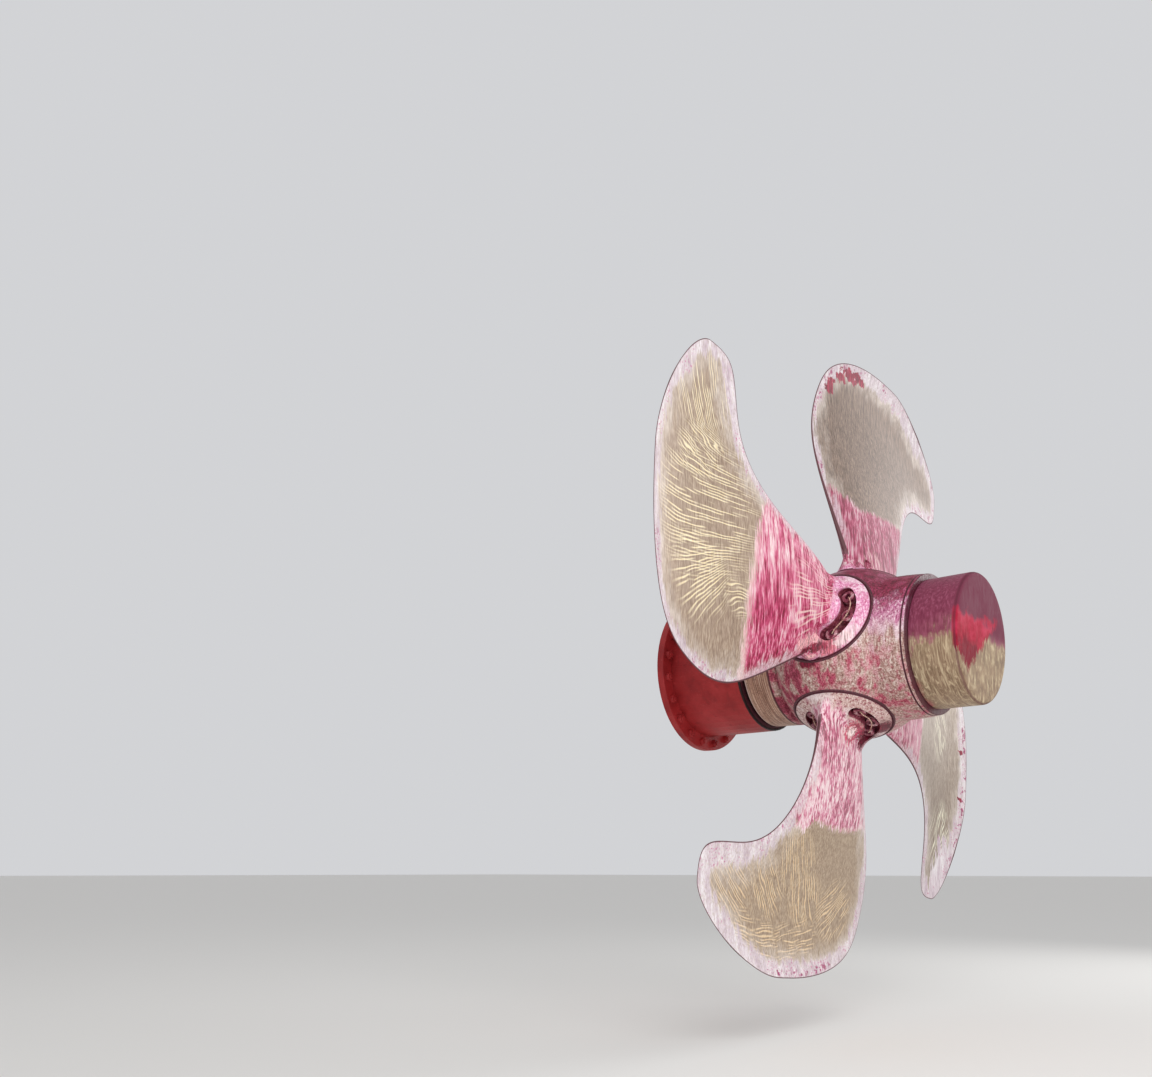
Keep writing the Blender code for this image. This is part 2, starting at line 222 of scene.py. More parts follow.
def setFinish(material, colour, metallic, roughness, height, depth, specular=0.5):
    # Plugs the worked-out colour, metal, roughness and relief into the shader
    tree = material.node_tree
    relief = addNode(tree, "ShaderNodeBump", {"Height": height, "Distance": depth, "Strength": 1.0})
    plug(tree.nodes["Principled BSDF"], {"Base Color": colour, "Metallic": metallic, "Roughness": roughness,
                                         "Normal": relief, "Specular IOR Level": specular})
    return material


# Mesh helpers

def surfaceMesh(name, grid, wrapRows=False):
    # A grid of points, rows along the profile and columns that close round the
    # axis, made into quads. Points that meet are merged and faces turned outwards.
    rows, columns = grid.shape[:2]
    index = np.arange(rows * columns).reshape(rows, columns)
    if wrapRows:
        index = np.vstack([index, index[:1]])
    beside = np.roll(index, -1, axis=1)
    faces = np.stack([index[:-1], beside[:-1], beside[1:], index[1:]], axis=-1).reshape(-1, 4)
    mesh = bpy.data.meshes.new(name)
    mesh.from_pydata(grid.reshape(-1, 3), [], faces.tolist())
    builder = bmesh.new()
    builder.from_mesh(mesh)
    bmesh.ops.remove_doubles(builder, verts=builder.verts, dist=mergeReach)
    bmesh.ops.dissolve_degenerate(builder, edges=builder.edges, dist=0.5 * mergeReach)
    bmesh.ops.recalc_face_normals(builder, faces=builder.faces)
    builder.to_mesh(mesh)
    builder.free()
    return mesh


def easedOutline(corners, closed, steps=5):
    # Corners (along, radius, ease): each is cut back by its ease on both sides and
    # rounded by the quadratic curve (1-t)^2 A + 2t(1-t) C + t^2 B through the cuts.
    table = np.array(corners, float)
    count = len(table)
    t = np.linspace(0.0, 1.0, steps + 1)[:, None]
    stretches = []
    for i in range(count):
        here, ease = table[i, :2], table[i, 2]
        if ease == 0.0 or (not closed and i in (0, count - 1)):
            stretches.append(here[None])
            continue
        back = table[i - 1, :2] - here
        onward = table[(i + 1) % count, :2] - here
        back /= np.linalg.norm(back)
        onward /= np.linalg.norm(onward)
        start, end = here + back * ease, here + onward * ease
        curve = start * (1.0 - t) ** 2 + here * 2.0 * t * (1.0 - t) + end * t ** 2
        stretches += [(start + back * ease)[None], curve, (end + onward * ease)[None]]
    return np.vstack(stretches)


def turnedGrid(height, radius, columns=192):
    # Rows turned about an upright axis: x = r cos a, y = r sin a, z = height
    angle = np.linspace(0.0, 2.0 * pi, columns, endpoint=False)
    radius = radius.reshape(len(height), -1)
    return np.stack([radius * np.cos(angle), radius * np.sin(angle), height[:, None] + 0.0 * angle], axis=-1)


def shaftMesh(name, outline, closed, columns=192):
    # An outline (along, radius) turned once round the shaft
    grid = turnedGrid(outline[:, 0], outline[:, 1], columns)
    return surfaceMesh(name, np.roll(grid, 1, axis=-1) + (0.0, 0.0, shaftHeight), wrapRows=closed)


def raised(plan, height):
    # Points of a plan with the height of each
    return np.concatenate([plan, np.broadcast_to(height[..., None], (*plan.shape[:-1], 1))], axis=-1)


def hexRadius(halfWidth, columns):
    # A hexagon's radius: half its width over the cosine of the angle from the nearest flat
    angle = np.arange(columns) * 2.0 * pi / columns
    return halfWidth / np.cos((angle + pi / 6.0) % (pi / 3.0) - pi / 6.0)


def sceneObject(name, data):
    thing = bpy.data.objects.new(name, data)
    bpy.context.scene.collection.objects.link(thing)
    return thing


def addPiece(name, mesh, finish, body, nodes=(), sharp=40.0):
    mesh.shade_smooth()
    mesh.set_sharp_from_angle(angle=radians(sharp))
    mesh.materials.append(finish)
    piece = sceneObject(name, mesh)
    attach(piece, body)
    if nodes:
        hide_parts(*nodes)


def cutMesh(mesh, cutters):
    # The mesh less each cutter, with the cutters removed afterwards
    piece = sceneObject("cutting", mesh)
    tools = [sceneObject(f"cutter_{i}", cutter) for i, cutter in enumerate(cutters)]
    for tool in tools:
        boolean = piece.modifiers.new(tool.name, "BOOLEAN")
        boolean.operation = "DIFFERENCE"
        boolean.solver = "EXACT"
        boolean.object = tool
    graph = bpy.context.evaluated_depsgraph_get()
    result = bpy.data.meshes.new_from_object(piece.evaluated_get(graph))
    for item in [piece, *tools]:
        bpy.data.objects.remove(item, do_unlink=True)
    result.materials.clear()
    return result


def movedCopy(mesh, name, matrix):
    copy = mesh.copy()
    copy.name = name
    copy.transform(matrix)
    return copy


def joinedMesh(name, meshes):
    # Several meshes as one, by way of a bmesh
    builder = bmesh.new()
    for mesh in meshes:
        builder.from_mesh(mesh)
    whole = bpy.data.meshes.new(name)
    builder.to_mesh(whole)
    builder.free()
    return whole


# Blade shape

bladeShape = {
    "radius": 2.0,
    "pitchSetting": -26.5,          # degrees about the spindle
    # share of radius, leading edge angle, trailing edge angle
    "outline": ((0.25, -25.5, 25.2), (0.32, -28.5, 19.6), (0.45, -31.9, 14.1), (0.60, -32.1, 13.9),
                (0.75, -26.5, 19.6), (0.88, -16.5, 26.7), (0.96, -3.0, 24.2)),
    "tipAngle": 12.0,
    "tipChord": 0.04,
    # share of radius, pitch over diameter, rake over radius, share of root thickness
    "sections": ((0.25, 0.41, -0.006, 1.00), (0.40, 0.76, -0.004, 0.70), (0.55, 1.00, -0.020, 0.48),
                 (0.70, 1.16, -0.045, 0.31), (0.85, 1.26, -0.059, 0.19), (1.00, 1.34, -0.047, 0.09)),
    "rootThickness": 0.170,
    "camber": 0.018,
    "edgeShare": 0.05,
    "swellPower": 1.3,
    "edgePower": 0.4,
    "tipThinning": 0.65,
    "footRadius": 0.271,
    "footThickness": 0.075,
    "footEase": 0.004,
    "spigotRadius": 0.120,
    "spigotLength": 0.055,
    "rootHeight": 0.062,
    "filletReach": 0.085,
    "filletShare": 0.8,             # most of the way from blade to rim that a fillet takes
    "columns": 192,
    "footRows": 12,
    "filletRows": 16,
    "bladeRows": 120,
}
hubBall = 0.489
footHeight = sqrt(hubBall ** 2 - bladeShape["footRadius"] ** 2)
footUnderside = footHeight - bladeShape["footThickness"]
rootRadius = hubBall + bladeShape["rootHeight"]


def splineThrough(stations, values, at):
    # Natural cubic spline: the second derivatives solve a three-band system, and
    # each span is a y0 + b y1 plus the cubic terms of a and b
    count = len(stations)
    step = np.diff(stations)
    rise = np.diff(values) / step
    band = np.eye(count)
    right = np.zeros(count)
    inner = np.arange(1, count - 1)
    band[inner, inner - 1] = step[:-1]
    band[inner, inner] = 2.0 * (step[:-1] + step[1:])
    band[inner, inner + 1] = step[1:]
    right[inner] = 6.0 * np.diff(rise)
    bend = np.linalg.solve(band, right)
    at = np.clip(at, stations[0], stations[-1])
    k = np.clip(np.searchsorted(stations, at, side="right") - 1, 0, count - 2)
    a = (stations[k + 1] - at) / step[k]
    b = 1.0 - a
    curve = ((a ** 3 - a) * bend[k] + (b ** 3 - b) * bend[k + 1]) * step[k] ** 2 / 6.0
    return a * values[k] + b * values[k + 1] + curve


def bladeEdges(radius):
    # Leading and trailing edge angles in degrees at each radius, and how far the
    # outline has closed towards the tip, from 1 to 0. Past the last station the edges
    # run on at slope * past * (1 - past) and close as sqrt(1 - past^2).
    stations, *sides = np.array(bladeShape["outline"]).T
    share = radius / bladeShape["radius"]
    last = stations[-1]
    past = np.clip((share - last) / (1.0 - last), 0.0, 1.0)
    closing = np.sqrt(1.0 - past ** 2)
    halfTip = np.degrees(0.5 * bladeShape["tipChord"] / bladeShape["radius"])
    edges = []
    for angles, end in zip(sides, (bladeShape["tipAngle"] - halfTip, bladeShape["tipAngle"] + halfTip)):
        before, there = splineThrough(stations, angles, np.array([last - 0.001, last]))
        onward = (there - before) / 0.001 * (1.0 - last) * past * (1.0 - past)
        edge = splineThrough(stations, angles, np.minimum(share, last)) + onward
        edges.append(end + (edge - end) * closing)
    return edges[0], edges[1], closing


def bladeSurface(radius, around):
    # A section is wrapped on a cylinder about the shaft: distance along the pitch
    # line = middle + half chord * cos(around), offset = half thickness * swell
    stations, pitches, rakes, shares = np.array(bladeShape["sections"]).T
    share = radius / bladeShape["radius"]
    lead, trail, closing = bladeEdges(radius)
    pitch = splineThrough(stations, pitches, share) * 2.0 * bladeShape["radius"]
    rake = splineThrough(stations, rakes, share) * bladeShape["radius"]
    thickness = splineThrough(stations, shares, share) * bladeShape["rootThickness"]
    thickness = thickness * (1.0 - bladeShape["tipThinning"] * (1.0 - closing))
    slope = np.arctan2(pitch, 2.0 * pi * radius)
    halfChord = 0.5 * np.radians(trail - lead) * radius / np.cos(slope)
    middle = 0.5 * np.radians(trail + lead) * radius / np.cos(slope)
    side = np.sign(np.round(np.sin(around), 9))
    swell = np.abs(np.round(np.sin(around), 9))
    edge = bladeShape["edgeShare"]
    offset = (1.0 - edge) * swell ** bladeShape["swellPower"] + edge * swell ** bladeShape["edgePower"]
    offset = 0.5 * side * thickness * offset - 2.0 * bladeShape["camber"] * halfChord * swell ** 2
    path = middle + halfChord * np.cos(around)
    axial = rake + path * np.sin(slope) + offset * np.cos(slope)
    angle = (path * np.cos(slope) - offset * np.sin(slope)) / radius
    return np.stack([axial, radius * np.sin(angle), radius * np.cos(angle)], axis=-1)


def ballHeight(plan):
    return np.sqrt(hubBall ** 2 - np.sum(plan ** 2, axis=-1))


def bladeMesh():
    # One closed grid in the blade's own frame, spindle up: spigot, round foot,
    # foot top on the hub's ball, quarter-round fillet, blade, and a tip that folds
    # each point onto its opposite one.
    columns = bladeShape["columns"]
    around = np.arange(columns) * 2.0 * pi / columns
    root = bladeSurface(np.array([[rootRadius]]), around[None])[0]
    chord = root[0] - root[columns // 2]
    turn = np.arctan2(chord[0], chord[1])
    circle = np.stack([np.sin(around + turn), np.cos(around + turn)], axis=-1)
    foot, ease = bladeShape["footRadius"], bladeShape["footEase"]
    spigot = bladeShape["spigotRadius"]
    bottom = footUnderside - bladeShape["spigotLength"]
    wall = easedOutline([(bottom, 0.0, 0.0), (bottom, spigot, ease), (footUnderside, spigot, 0.0),
                         (footUnderside, foot, ease), (footHeight - ease, foot, 0.0)], closed=False)
    wallRows = raised(circle[None] * wall[:, 1][:, None, None], wall[:, :1])
    rim = circle * (foot - ease)
    rootPlan = root[:, :2]
    gap = np.linalg.norm(rim - rootPlan, axis=-1)
    reach = np.minimum(bladeShape["filletReach"], bladeShape["filletShare"] * gap)
    start = rootPlan + (rim - rootPlan) * (reach / gap)[:, None]
    share = np.linspace(0.0, 1.0, bladeShape["footRows"], endpoint=False)[:, None, None]
    topPlan = rim + (start - rim) * share
    angle = np.linspace(0.0, 0.5 * pi, bladeShape["filletRows"] + 1)[:, None]
    filletPlan = start + (rootPlan - start) * np.sin(angle)[..., None]
    rise = root[:, 2] - ballHeight(rootPlan)
    filletRows = raised(filletPlan, ballHeight(filletPlan) + rise * (1.0 - np.cos(angle)))
    share = np.sin(np.linspace(0.0, 0.5 * pi, bladeShape["bladeRows"] + 1)[1:])[:, None]
    bladeRows = bladeSurface(rootRadius + (bladeShape["radius"] - rootRadius) * share, around[None])
    opposite = bladeRows[-1][(-np.arange(columns)) % columns]
    fold = 0.5 * (bladeRows[-1:] + opposite[None])
    rows = [wallRows, raised(topPlan, ballHeight(topPlan)), filletRows, bladeRows, fold]
    return surfaceMesh("blade", np.concatenate(rows))


pocketShape = {
    "circle": 0.168,
    "width": 0.080,
    "span": 104.0,                  # degrees
    "depth": 0.060,
    "roof": 0.058,
    "middles": (-40.0, 160.0),      # the aft and the forward pocket, degrees
    "floorEase": 0.012,
    "arcPoints": 40,
    "endPoints": 15,
    "easeRows": 6,
}
pocketFloor = sqrt(hubBall ** 2 - pocketShape["circle"] ** 2) - pocketShape["depth"]


def pocketCutter(middleAngle):
    # Curved slot with round ends: its outline at spread s is the arc of the bolt
    # circle set off by s, and the slot narrows in a quarter round at floor and roof
    first = radians(middleAngle - 0.5 * pocketShape["span"])
    last = radians(middleAngle + 0.5 * pocketShape["span"])
    along = np.linspace(first, last, pocketShape["arcPoints"])
    end = np.linspace(0.0, pi, pocketShape["endPoints"])[1:-1]
    centreAngle = np.concatenate([along, np.full(len(end), last), along[::-1], np.full(len(end), first)])
    facing = np.concatenate([along, last + end, along[::-1] + pi, first + pi + end])
    centre = pocketShape["circle"] * np.stack([np.cos(centreAngle), np.sin(centreAngle)], axis=-1)
    outward = np.stack([np.cos(facing), np.sin(facing)], axis=-1)
    ease = pocketShape["floorEase"]
    inner = 0.5 * pocketShape["width"] - ease
    turn = np.linspace(0.0, 0.5 * pi, pocketShape["easeRows"])
    ceiling = hubBall + pocketShape["roof"]
    spreads = np.concatenate([[0.0], inner + ease * np.sin(turn), inner + ease * np.cos(turn), [0.0]])
    heights = np.concatenate([[pocketFloor], pocketFloor + ease * (1.0 - np.cos(turn)),
                              ceiling - ease * (1.0 - np.sin(turn)), [ceiling]])
    plan = centre[None] + outward[None] * spreads[:, None, None]
    return surfaceMesh("pocket", raised(plan, heights[:, None]))


def bladeFrame(number):
    # Turns the blade's own frame, spindle up, to its place on the hub
    outward = -Vector(joints[f"blade_{number}_pitch"]["axis"])
    turn = np.arctan2(-outward.y, outward.z)
    return (Matrix.Translation(hubCentre) @ Matrix.Rotation(turn, 4, "X")
            @ Matrix.Rotation(radians(-bladeShape["pitchSetting"]), 4, "Z"))


# What each blade's face shows. Places on it are in metres on the unrolled face:
# across from the spindle towards the trailing edge, and out from the shaft. Metal is
# its dark, middle and light tone. The dye ends at the mask line, given by its points.
# Border is its width along the leading edge near the root and far out, then the same
# along the trailing edge. Dye is (how dark, contrast, streak shortness), wash a tint
# over it (share, tone), and shades are (middle, reach, how much darker the dye is
# there). Fringe is where the mask line keeps a pale strip, (middle, reach). Freckles
# are (amount, middle, reach). Strokes and wipes are (point they fan out from, middle
# of the patch, its reach, how curly), on a line grid of (spacing, how sparse, cuts per
# metre). Chalked places and stains are (middle, half sizes). A look that a blade
# doesn't have is left out of its row.
bladeLooks = {
    1: {"metal": ((154, 133, 115), (170, 148, 129), (188, 168, 147)),
        "maskLine": ((-0.60, 1.08), (-0.13, 1.11), (0.20, 1.16)), "border": (0.036, 0.052, 0.040, 0.070),
        "freckles": (0.4, (-0.50, 1.60), 0.80), "dye": (0.52, 1.05, 0.09), "wash": (0.0, (226, 200, 216)),
        "shades": (((-0.42, 0.94), 0.28, 0.12), ((0.12, 1.12), 0.30, -0.12), ((0.10, 0.47), 0.08, 0.25)),
        "lineGrid": (0.0145, 0.44, 3.6), "strokeTone": (252, 236, 198), "strokes": (
            ((0.62, -0.85), (0.00, 1.50), 0.44, 1.5), ((-0.25, 1.00), (0.55, 1.78), 0.30, 1.8),
            ((0.05, 1.02), (-0.30, 1.45), 0.26, 1.8), ((0.10, 0.30), (0.24, 1.64), 0.20, 5.0),
            ((-0.10, 0.60), (-0.26, 1.16), 0.13, 5.0)),
        "wipes": ((0.10, 0.25), (-0.04, 0.62), 0.27, 2.5), "fringe": (((-0.33, 1.09), 0.46),)},
    # Blade 2's darker metal tones, its greyish wash and its darker dye shades are painted shade, as if the
    # blade lay in shadow
    2: {"metal": ((104, 86, 73), (126, 105, 91), (148, 127, 111)),
        "maskLine": ((-0.55, 0.95), (-0.25, 0.86), (0.00, 0.96), (0.20, 1.06)),
        "border": (0.028, 0.095, 0.036, 0.060),
        "freckles": (0.8, (-0.20, 1.40), 1.60), "dye": (0.56, 1.45, 0.08), "wash": (0.30, (148, 104, 118)),
        "shades": (((-0.30, 0.66), 0.25, 0.12), ((0.12, 0.95), 0.24, 0.10), ((0.10, 0.70), 0.22, 0.12)),
        "lineGrid": (0.0145, 0.44, 3.6), "wipes": ((0.10, 0.25), (-0.10, 0.56), 0.12, 2.0), "stains": (
            ((-0.600, 1.545), (0.040, 0.065)), ((-0.520, 1.650), (0.06, 0.030)),
            ((-0.440, 1.710), (0.09, 0.036)), ((-0.350, 1.748), (0.08, 0.030)))},
    # Blade 3's metal tones, darker than those of blades 1 and 4, are painted shade
    3: {"metal": ((136, 119, 105), (159, 142, 127), (180, 164, 147)),
        "maskLine": ((-0.50, 0.93), (0.05, 0.94), (0.20, 1.00)), "border": (0.032, 0.095, 0.045, 0.080),
        "freckles": (1.0, (-0.05, 1.83), 0.70), "dye": (0.44, 1.3, 0.11), "wash": (0.24, (190, 172, 176)),
        "shades": (((0.00, 0.75), 0.20, 0.08),),
        "lineGrid": (0.022, 0.42, 4.5), "strokeTone": (246, 242, 218), "strokes": (
            ((-1.04, 0.18), (-0.17, 1.40), 0.20, 3.0), ((-1.12, 1.58), (0.38, 1.73), 0.26, 4.0)),
        "wipes": ((0.10, 0.25), (0.00, 0.56), 0.10, 2.0), "chalked": (((0.60, 1.90), (0.26, 0.15)),),
        "stains": (((-0.225, 1.800), (0.016, 0.035)), ((0.055, 1.900), (0.014, 0.030)))},
    4: {"metal": ((158, 137, 116), (172, 150, 128), (188, 168, 144)),
        "maskLine": ((-0.45, 0.975), (0.06, 1.085), (0.12, 1.19), (0.20, 1.19)),
        "border": (0.062, 0.090, 0.062, 0.115),
        "freckles": (1.0, (-0.14, 1.84), 0.50), "dye": (0.35, 1.9, 0.17), "wash": (0.16, (226, 200, 216)),
        "shades": (((-0.24, 0.95), 0.22, 0.16), ((0.14, 0.95), 0.20, -0.22), ((-0.05, 0.66), 0.12, 0.08)),
        "lineGrid": (0.0165, 0.42, 6.5), "strokeTone": (236, 208, 168), "strokes": (
            ((1.18, -0.30), (0.08, 1.34), 0.22, 2.0), ((2.56, 1.48), (0.56, 1.74), 0.25, 2.5),
            ((1.30, 0.90), (0.27, 1.58), 0.20, 4.0), ((0.80, 0.20), (-0.08, 1.48), 0.20, 4.0),
            ((-1.30, 0.28), (-0.38, 1.46), 0.22, 3.0), ((1.60, 2.25), (0.36, 1.86), 0.13, 3.0),
            ((1.39, 2.29), (0.18, 1.82), 0.14, 3.0), ((1.13, 2.40), (0.00, 1.76), 0.14, 3.0),
            ((0.96, 2.32), (-0.16, 1.66), 0.13, 3.0)),
        "wipes": ((0.10, 0.25), (0.00, 0.56), 0.08, 2.0)},
}

# Foot paint is its dark, middle and light tone, then its spots' tone and strength.
# Spots on the feet and fillets are (place in the blade's own frame, reach, tone).
chalkyFoot = ((186, 150, 142), (212, 184, 176), (230, 210, 206), (146, 52, 72), 0.85)
pinkFoot = ((206, 118, 162), (226, 160, 192), (242, 212, 226), (184, 54, 110), 0.55)
footPaints = {1: pinkFoot, 2: pinkFoot, 3: pinkFoot, 4: chalkyFoot}
footSpots = {
    4: (((0.119, -0.190, 0.436), 0.085, (104, 14, 40)), ((-0.014, -0.200, 0.440), 0.062, (104, 14, 40)),
        ((-0.040, -0.188, 0.490), 0.050, (112, 20, 46)), ((0.060, -0.130, 0.470), 0.085, (128, 18, 50)),
        ((0.070, -0.030, 0.516), 0.078, (184, 42, 84)), ((0.070, -0.026, 0.518), 0.042, (238, 208, 206))),
    1: (((-0.020, -0.225, 0.440), 0.090, (190, 106, 120)), ((0.077, -0.223, 0.428), 0.045, (226, 196, 198)),
        ((0.037, -0.237, 0.426), 0.034, (226, 196, 198)), ((-0.122, -0.264, 0.580), 0.044, (224, 168, 172)),
        ((-0.090, -0.226, 0.545), 0.040, (224, 168, 172)), ((-0.058, -0.199, 0.498), 0.036, (224, 168, 172)),
        ((-0.092, -0.236, 0.474), 0.036, (128, 26, 52)), ((-0.068, -0.224, 0.464), 0.030, (128, 26, 52)),
        ((-0.118, -0.244, 0.503), 0.024, (116, 20, 46)), ((-0.130, -0.256, 0.520), 0.022, (116, 20, 46)),
        ((-0.140, -0.269, 0.537), 0.020, (116, 20, 46)), ((-0.042, -0.224, 0.448), 0.024, (140, 36, 62)),
        ((-0.138, -0.246, 0.450), 0.026, (226, 168, 172)), ((-0.118, -0.248, 0.440), 0.018, (226, 168, 172))),
}


def strokeMasks(place, stroke, lineGrid, seed):
    # Lines that fan out from a centre. The angle times the patch's distance, plus a
    # slow wobble, over the spacing: its whole part is the line's number, and the rest
    # is the place across the line. Noise that differs from line to line cuts each
    # into lengths and shades it. Gives the lines, and a painted shadow beside each that darkens the gaps
    # between them.
    centre, middle, reach, curl = stroke
    spacing, sparseness, cuts = lineGrid
    offset = vectorMath("SUBTRACT", place, (*centre, 0.0))
    arm = sqrt((middle[0] - centre[0]) ** 2 + (middle[1] - centre[1]) ** 2)
    facing = np.arctan2(middle[0] - centre[0], middle[1] - centre[1])
    inputs = {0: offset, "Angle": facing}
    turned = addNode(place.tree, "ShaderNodeVectorRotate", inputs, rotation_type="Z_AXIS")
    side, ahead, _ = parts(turned)
    over = compute("ARCTAN2", side, ahead) * arm
    along = vectorMath("LENGTH", offset)
    strip = combined(over, along, seed)
    wobble = grain(stretched(strip, (13.0, 6.0, 1.0)), 1.0, 1.0, 0.55) - 0.5
    counted = compute("DIVIDE", over, spacing) + wobble * curl
    aside = abs(compute("FRACT", counted) - 0.5)
    own = combined(compute("FLOOR", counted) * 3.7, along, seed)
    lengths = grain(stretched(own, (1.0, cuts, 1.0)), 1.0, 1.0, 0.55)
    patch = nearness(place, middle, reach) * fade(lengths, sparseness, sparseness + 0.10)
    return fade(aside, 0.30, 0.10) * patch, fade(aside, 0.30, 0.46) * patch


def bareBronze(looks, number, place, fine, cloud):
    # Ground bronze with hanging streaks, grey clouds and light pen-like strokes, each with a painted shadow
    # beside it
    dark, middle, light = looks["metal"]
    colour = colourRamp(fine, (0.0, *dark), (0.5, *middle), (1.0, *light))
    colour = blend(cloud * 0.40, colour, middle)
    relief = 0.0
    for i, stroke in enumerate(looks.get("strokes", ())):
        lines, strokeShadows = strokeMasks(place, stroke, looks["lineGrid"], 7.0 * i + number)
        # Painted shadow beside each stroke, in the metal's dark tone
        colour = blend(strokeShadows * 0.50, colour, dark)
        colour = blend(lines * 0.85, colour, looks["strokeTone"])
        relief = compute("MAXIMUM", relief, lines)
    return colour, relief


def dyePaint(looks, number, place, fine, broad):
    # Dye from whitish pink to deep magenta in hanging streaks, wiped along the
    # blade in places
    dark, contrast, _ = looks["dye"]
    streak = (fine * 0.62 + broad * 0.38) * contrast + (dark - 0.5 * contrast)
    for middle, reach, shift in looks["shades"]:
        streak = streak + nearness(place, middle, reach) * shift
    dye = colourRamp(streak, (0.05, 238, 214, 214), (0.26, 222, 170, 182), (0.46, 214, 126, 152),
                     (0.64, 192, 68, 110), (0.82, 160, 34, 76), (1.0, 126, 18, 50))
    amount, washTone = looks["wash"]
    dye = blend(amount, dye, washTone)
    wiped, _ = strokeMasks(place, looks["wipes"], looks["lineGrid"], 40.0 + number)
    return blend(wiped * 0.70, dye, (240, 212, 202))


def footPaint(number, fine, speck, cloud):
    # Clouded and speckled paint, chalky on one foot and pink on the others
    dark, middle, light, spot, amount = footPaints[number]
    base = colourRamp(fine, (0.0, *dark), (0.5, *middle), (1.0, *light))
    base = blend(fade(speck, 0.55, 0.85) * amount, base, spot)
    return blend(fade(cloud, 0.6, 0.95) * 0.6, base, (236, 222, 224))


def bladeFinish(number):
    # Bare ground bronze in the middle, a chalky border with a ragged inner edge, and
    # dye-streaked paint from the hub out to a masked line. The blade's attributes say
    # where each point lies.
    looks = bladeLooks[number]
    material, world = newFinish(f"blade_{number}_finish")
    names = ("across", "outward", "edgeReach", "maskReach", "bandReach", "rise", "rimReach")
    across, outward, edge, beyond, band, rise, rim = [
        addNode(world.tree, "ShaderNodeAttribute", {}, "Fac", attribute_name=name) for name in names]
    place = combined(across, outward)
    hanging = stretched(world, (1.0, 1.0, looks["dye"][2]), (number, 0.0, 0.0))
    fine = spread(grain(hanging, 100.0))
    broad = spread(grain(stretched(world, (1.0, 1.0, 0.20), (0.0, number, 0.0)), 22.0))
    cloud = spread(grain(world, 6.0, 4.0))
    speck = spread(grain(world, 70.0, 3.0, 0.65))
    grit = spread(grain(hanging, 240.0, 2.0))
    blotch = spread(grain(world, 30.0))

    bare, relief = bareBronze(looks, number, place, fine, cloud)
    bandEdge = band + ((fine - 0.5) * 0.022 + (broad - 0.5) * 0.045)
    bandShare = fade(bandEdge, 0.020, -0.016) * (1.0 - fade(speck, 0.5, 0.1) * 0.35)
    haze = fade(bandEdge, 0.11, 0.0) * (cloud * 0.60 + 0.15)
    bare = blend(haze, bare, (220, 208, 198))
    chalk = colourRamp(broad, (0.0, 198, 182, 188), (0.5, 216, 204, 207), (1.0, 234, 229, 229))
    chalk = blend(fine * 0.30, chalk, (200, 174, 190))
    spots = fade(speck, 0.70, 0.95) * fade(cloud, 0.35, 0.75)
    chalk = blend(spots * 0.75, chalk, (188, 74, 128))
    amount, middle, reach = looks["freckles"]
    freckles = fade(abs(edge - 0.030), 0.030, 0.010) * fade(blotch, 0.66, 0.82)
    amount = fade(cloud, 0.45, 0.60) * (nearness(place, middle, reach) * amount)
    chalk = blend(freckles * amount, chalk, (158, 44, 102))
    for middle, size in looks.get("chalked", ()):
        bandShare = compute("MAXIMUM", bandShare, stainMask(place, broad, middle, size))
    colour = blend(bandShare, bare, chalk)

    maskEdge = beyond + (fine - 0.5) * 0.045
    covered = bandShare * fade(rise, 0.10, 0.32)
    dyeShare = fade(maskEdge, 0.012, -0.012) * (1.0 - covered * 0.75)
    colour = blend(dyeShare, colour, dyePaint(looks, number, place, fine, broad))
    for middle, reach in looks.get("fringe", ()):
        pale = fade(maskEdge, -0.045, -0.008) * fade(maskEdge, 0.022, 0.004) * nearness(place, middle, reach)
        colour = blend(pale * 0.65, colour, (232, 206, 200))
    footShare = fade(rise + (broad - 0.5) * 0.03, 0.030, 0.006)
    colour = blend(footShare, colour, footPaint(number, fine, speck, cloud))
    for middle, size in looks.get("stains", ()):
        colour = blend(stainMask(place, blotch, middle, size), colour, mottled(fine, (144, 20, 54)))
    colour = spotted(colour, world, speck, fine, footSpots.get(number, ()), bladeFrame(number))
    colour = speckled(colour, grit, 0.55)
    # Painted shade: a dark line along the blade's thick edges near the root
    colour = blend(fade(edge, 0.0070, 0.0035) * fade(rise, 0.02, 0.14), colour, (92, 50, 56))
    # Painted shade: a dark line just inside the foot's rim, beside the seal groove
    colour = blend(fade(rim, -0.0035, -0.001), colour, (96, 32, 50))
    # The pockets' walls and floors lie below the foot's top
    pocket = colourRamp(speck, (0.0, 92, 26, 44), (0.6, 128, 48, 66), (1.0, 164, 92, 104))
    colour = blend(fade(rise, -0.003, -0.012), colour, pocket)

    ground = (1.0 - bandShare) * (1.0 - dyeShare)
    height = fine * 0.35 + speck * 0.25 + relief * 0.6
    return setFinish(material, colour, ground * 0.25, 0.55 - ground * 0.10, height, 0.0010)


borderWidens = (1.25, 0.6)    # from this distance out, over this length
edgePoints = 700


def edgeDistance(across, outward, angles, radius):
    # Shortest distance on the unrolled face to an edge, taken over points that lie
    # evenly along it
    curve = np.column_stack([np.radians(angles) * radius, radius])
    spaced = np.concatenate([[0.0], np.cumsum(np.linalg.norm(np.diff(curve, axis=0), axis=1))])
    even = np.linspace(0.0, spaced[-1], edgePoints)
    curve = np.column_stack([np.interp(even, spaced, curve[:, 0]), np.interp(even, spaced, curve[:, 1])])
    distance = np.full(len(across), np.inf)
    for part in np.array_split(curve, 10):
        away = np.hypot(across[:, None] - part[None, :, 0], outward[:, None] - part[None, :, 1])
        distance = np.minimum(distance, away.min(axis=1))
    return distance


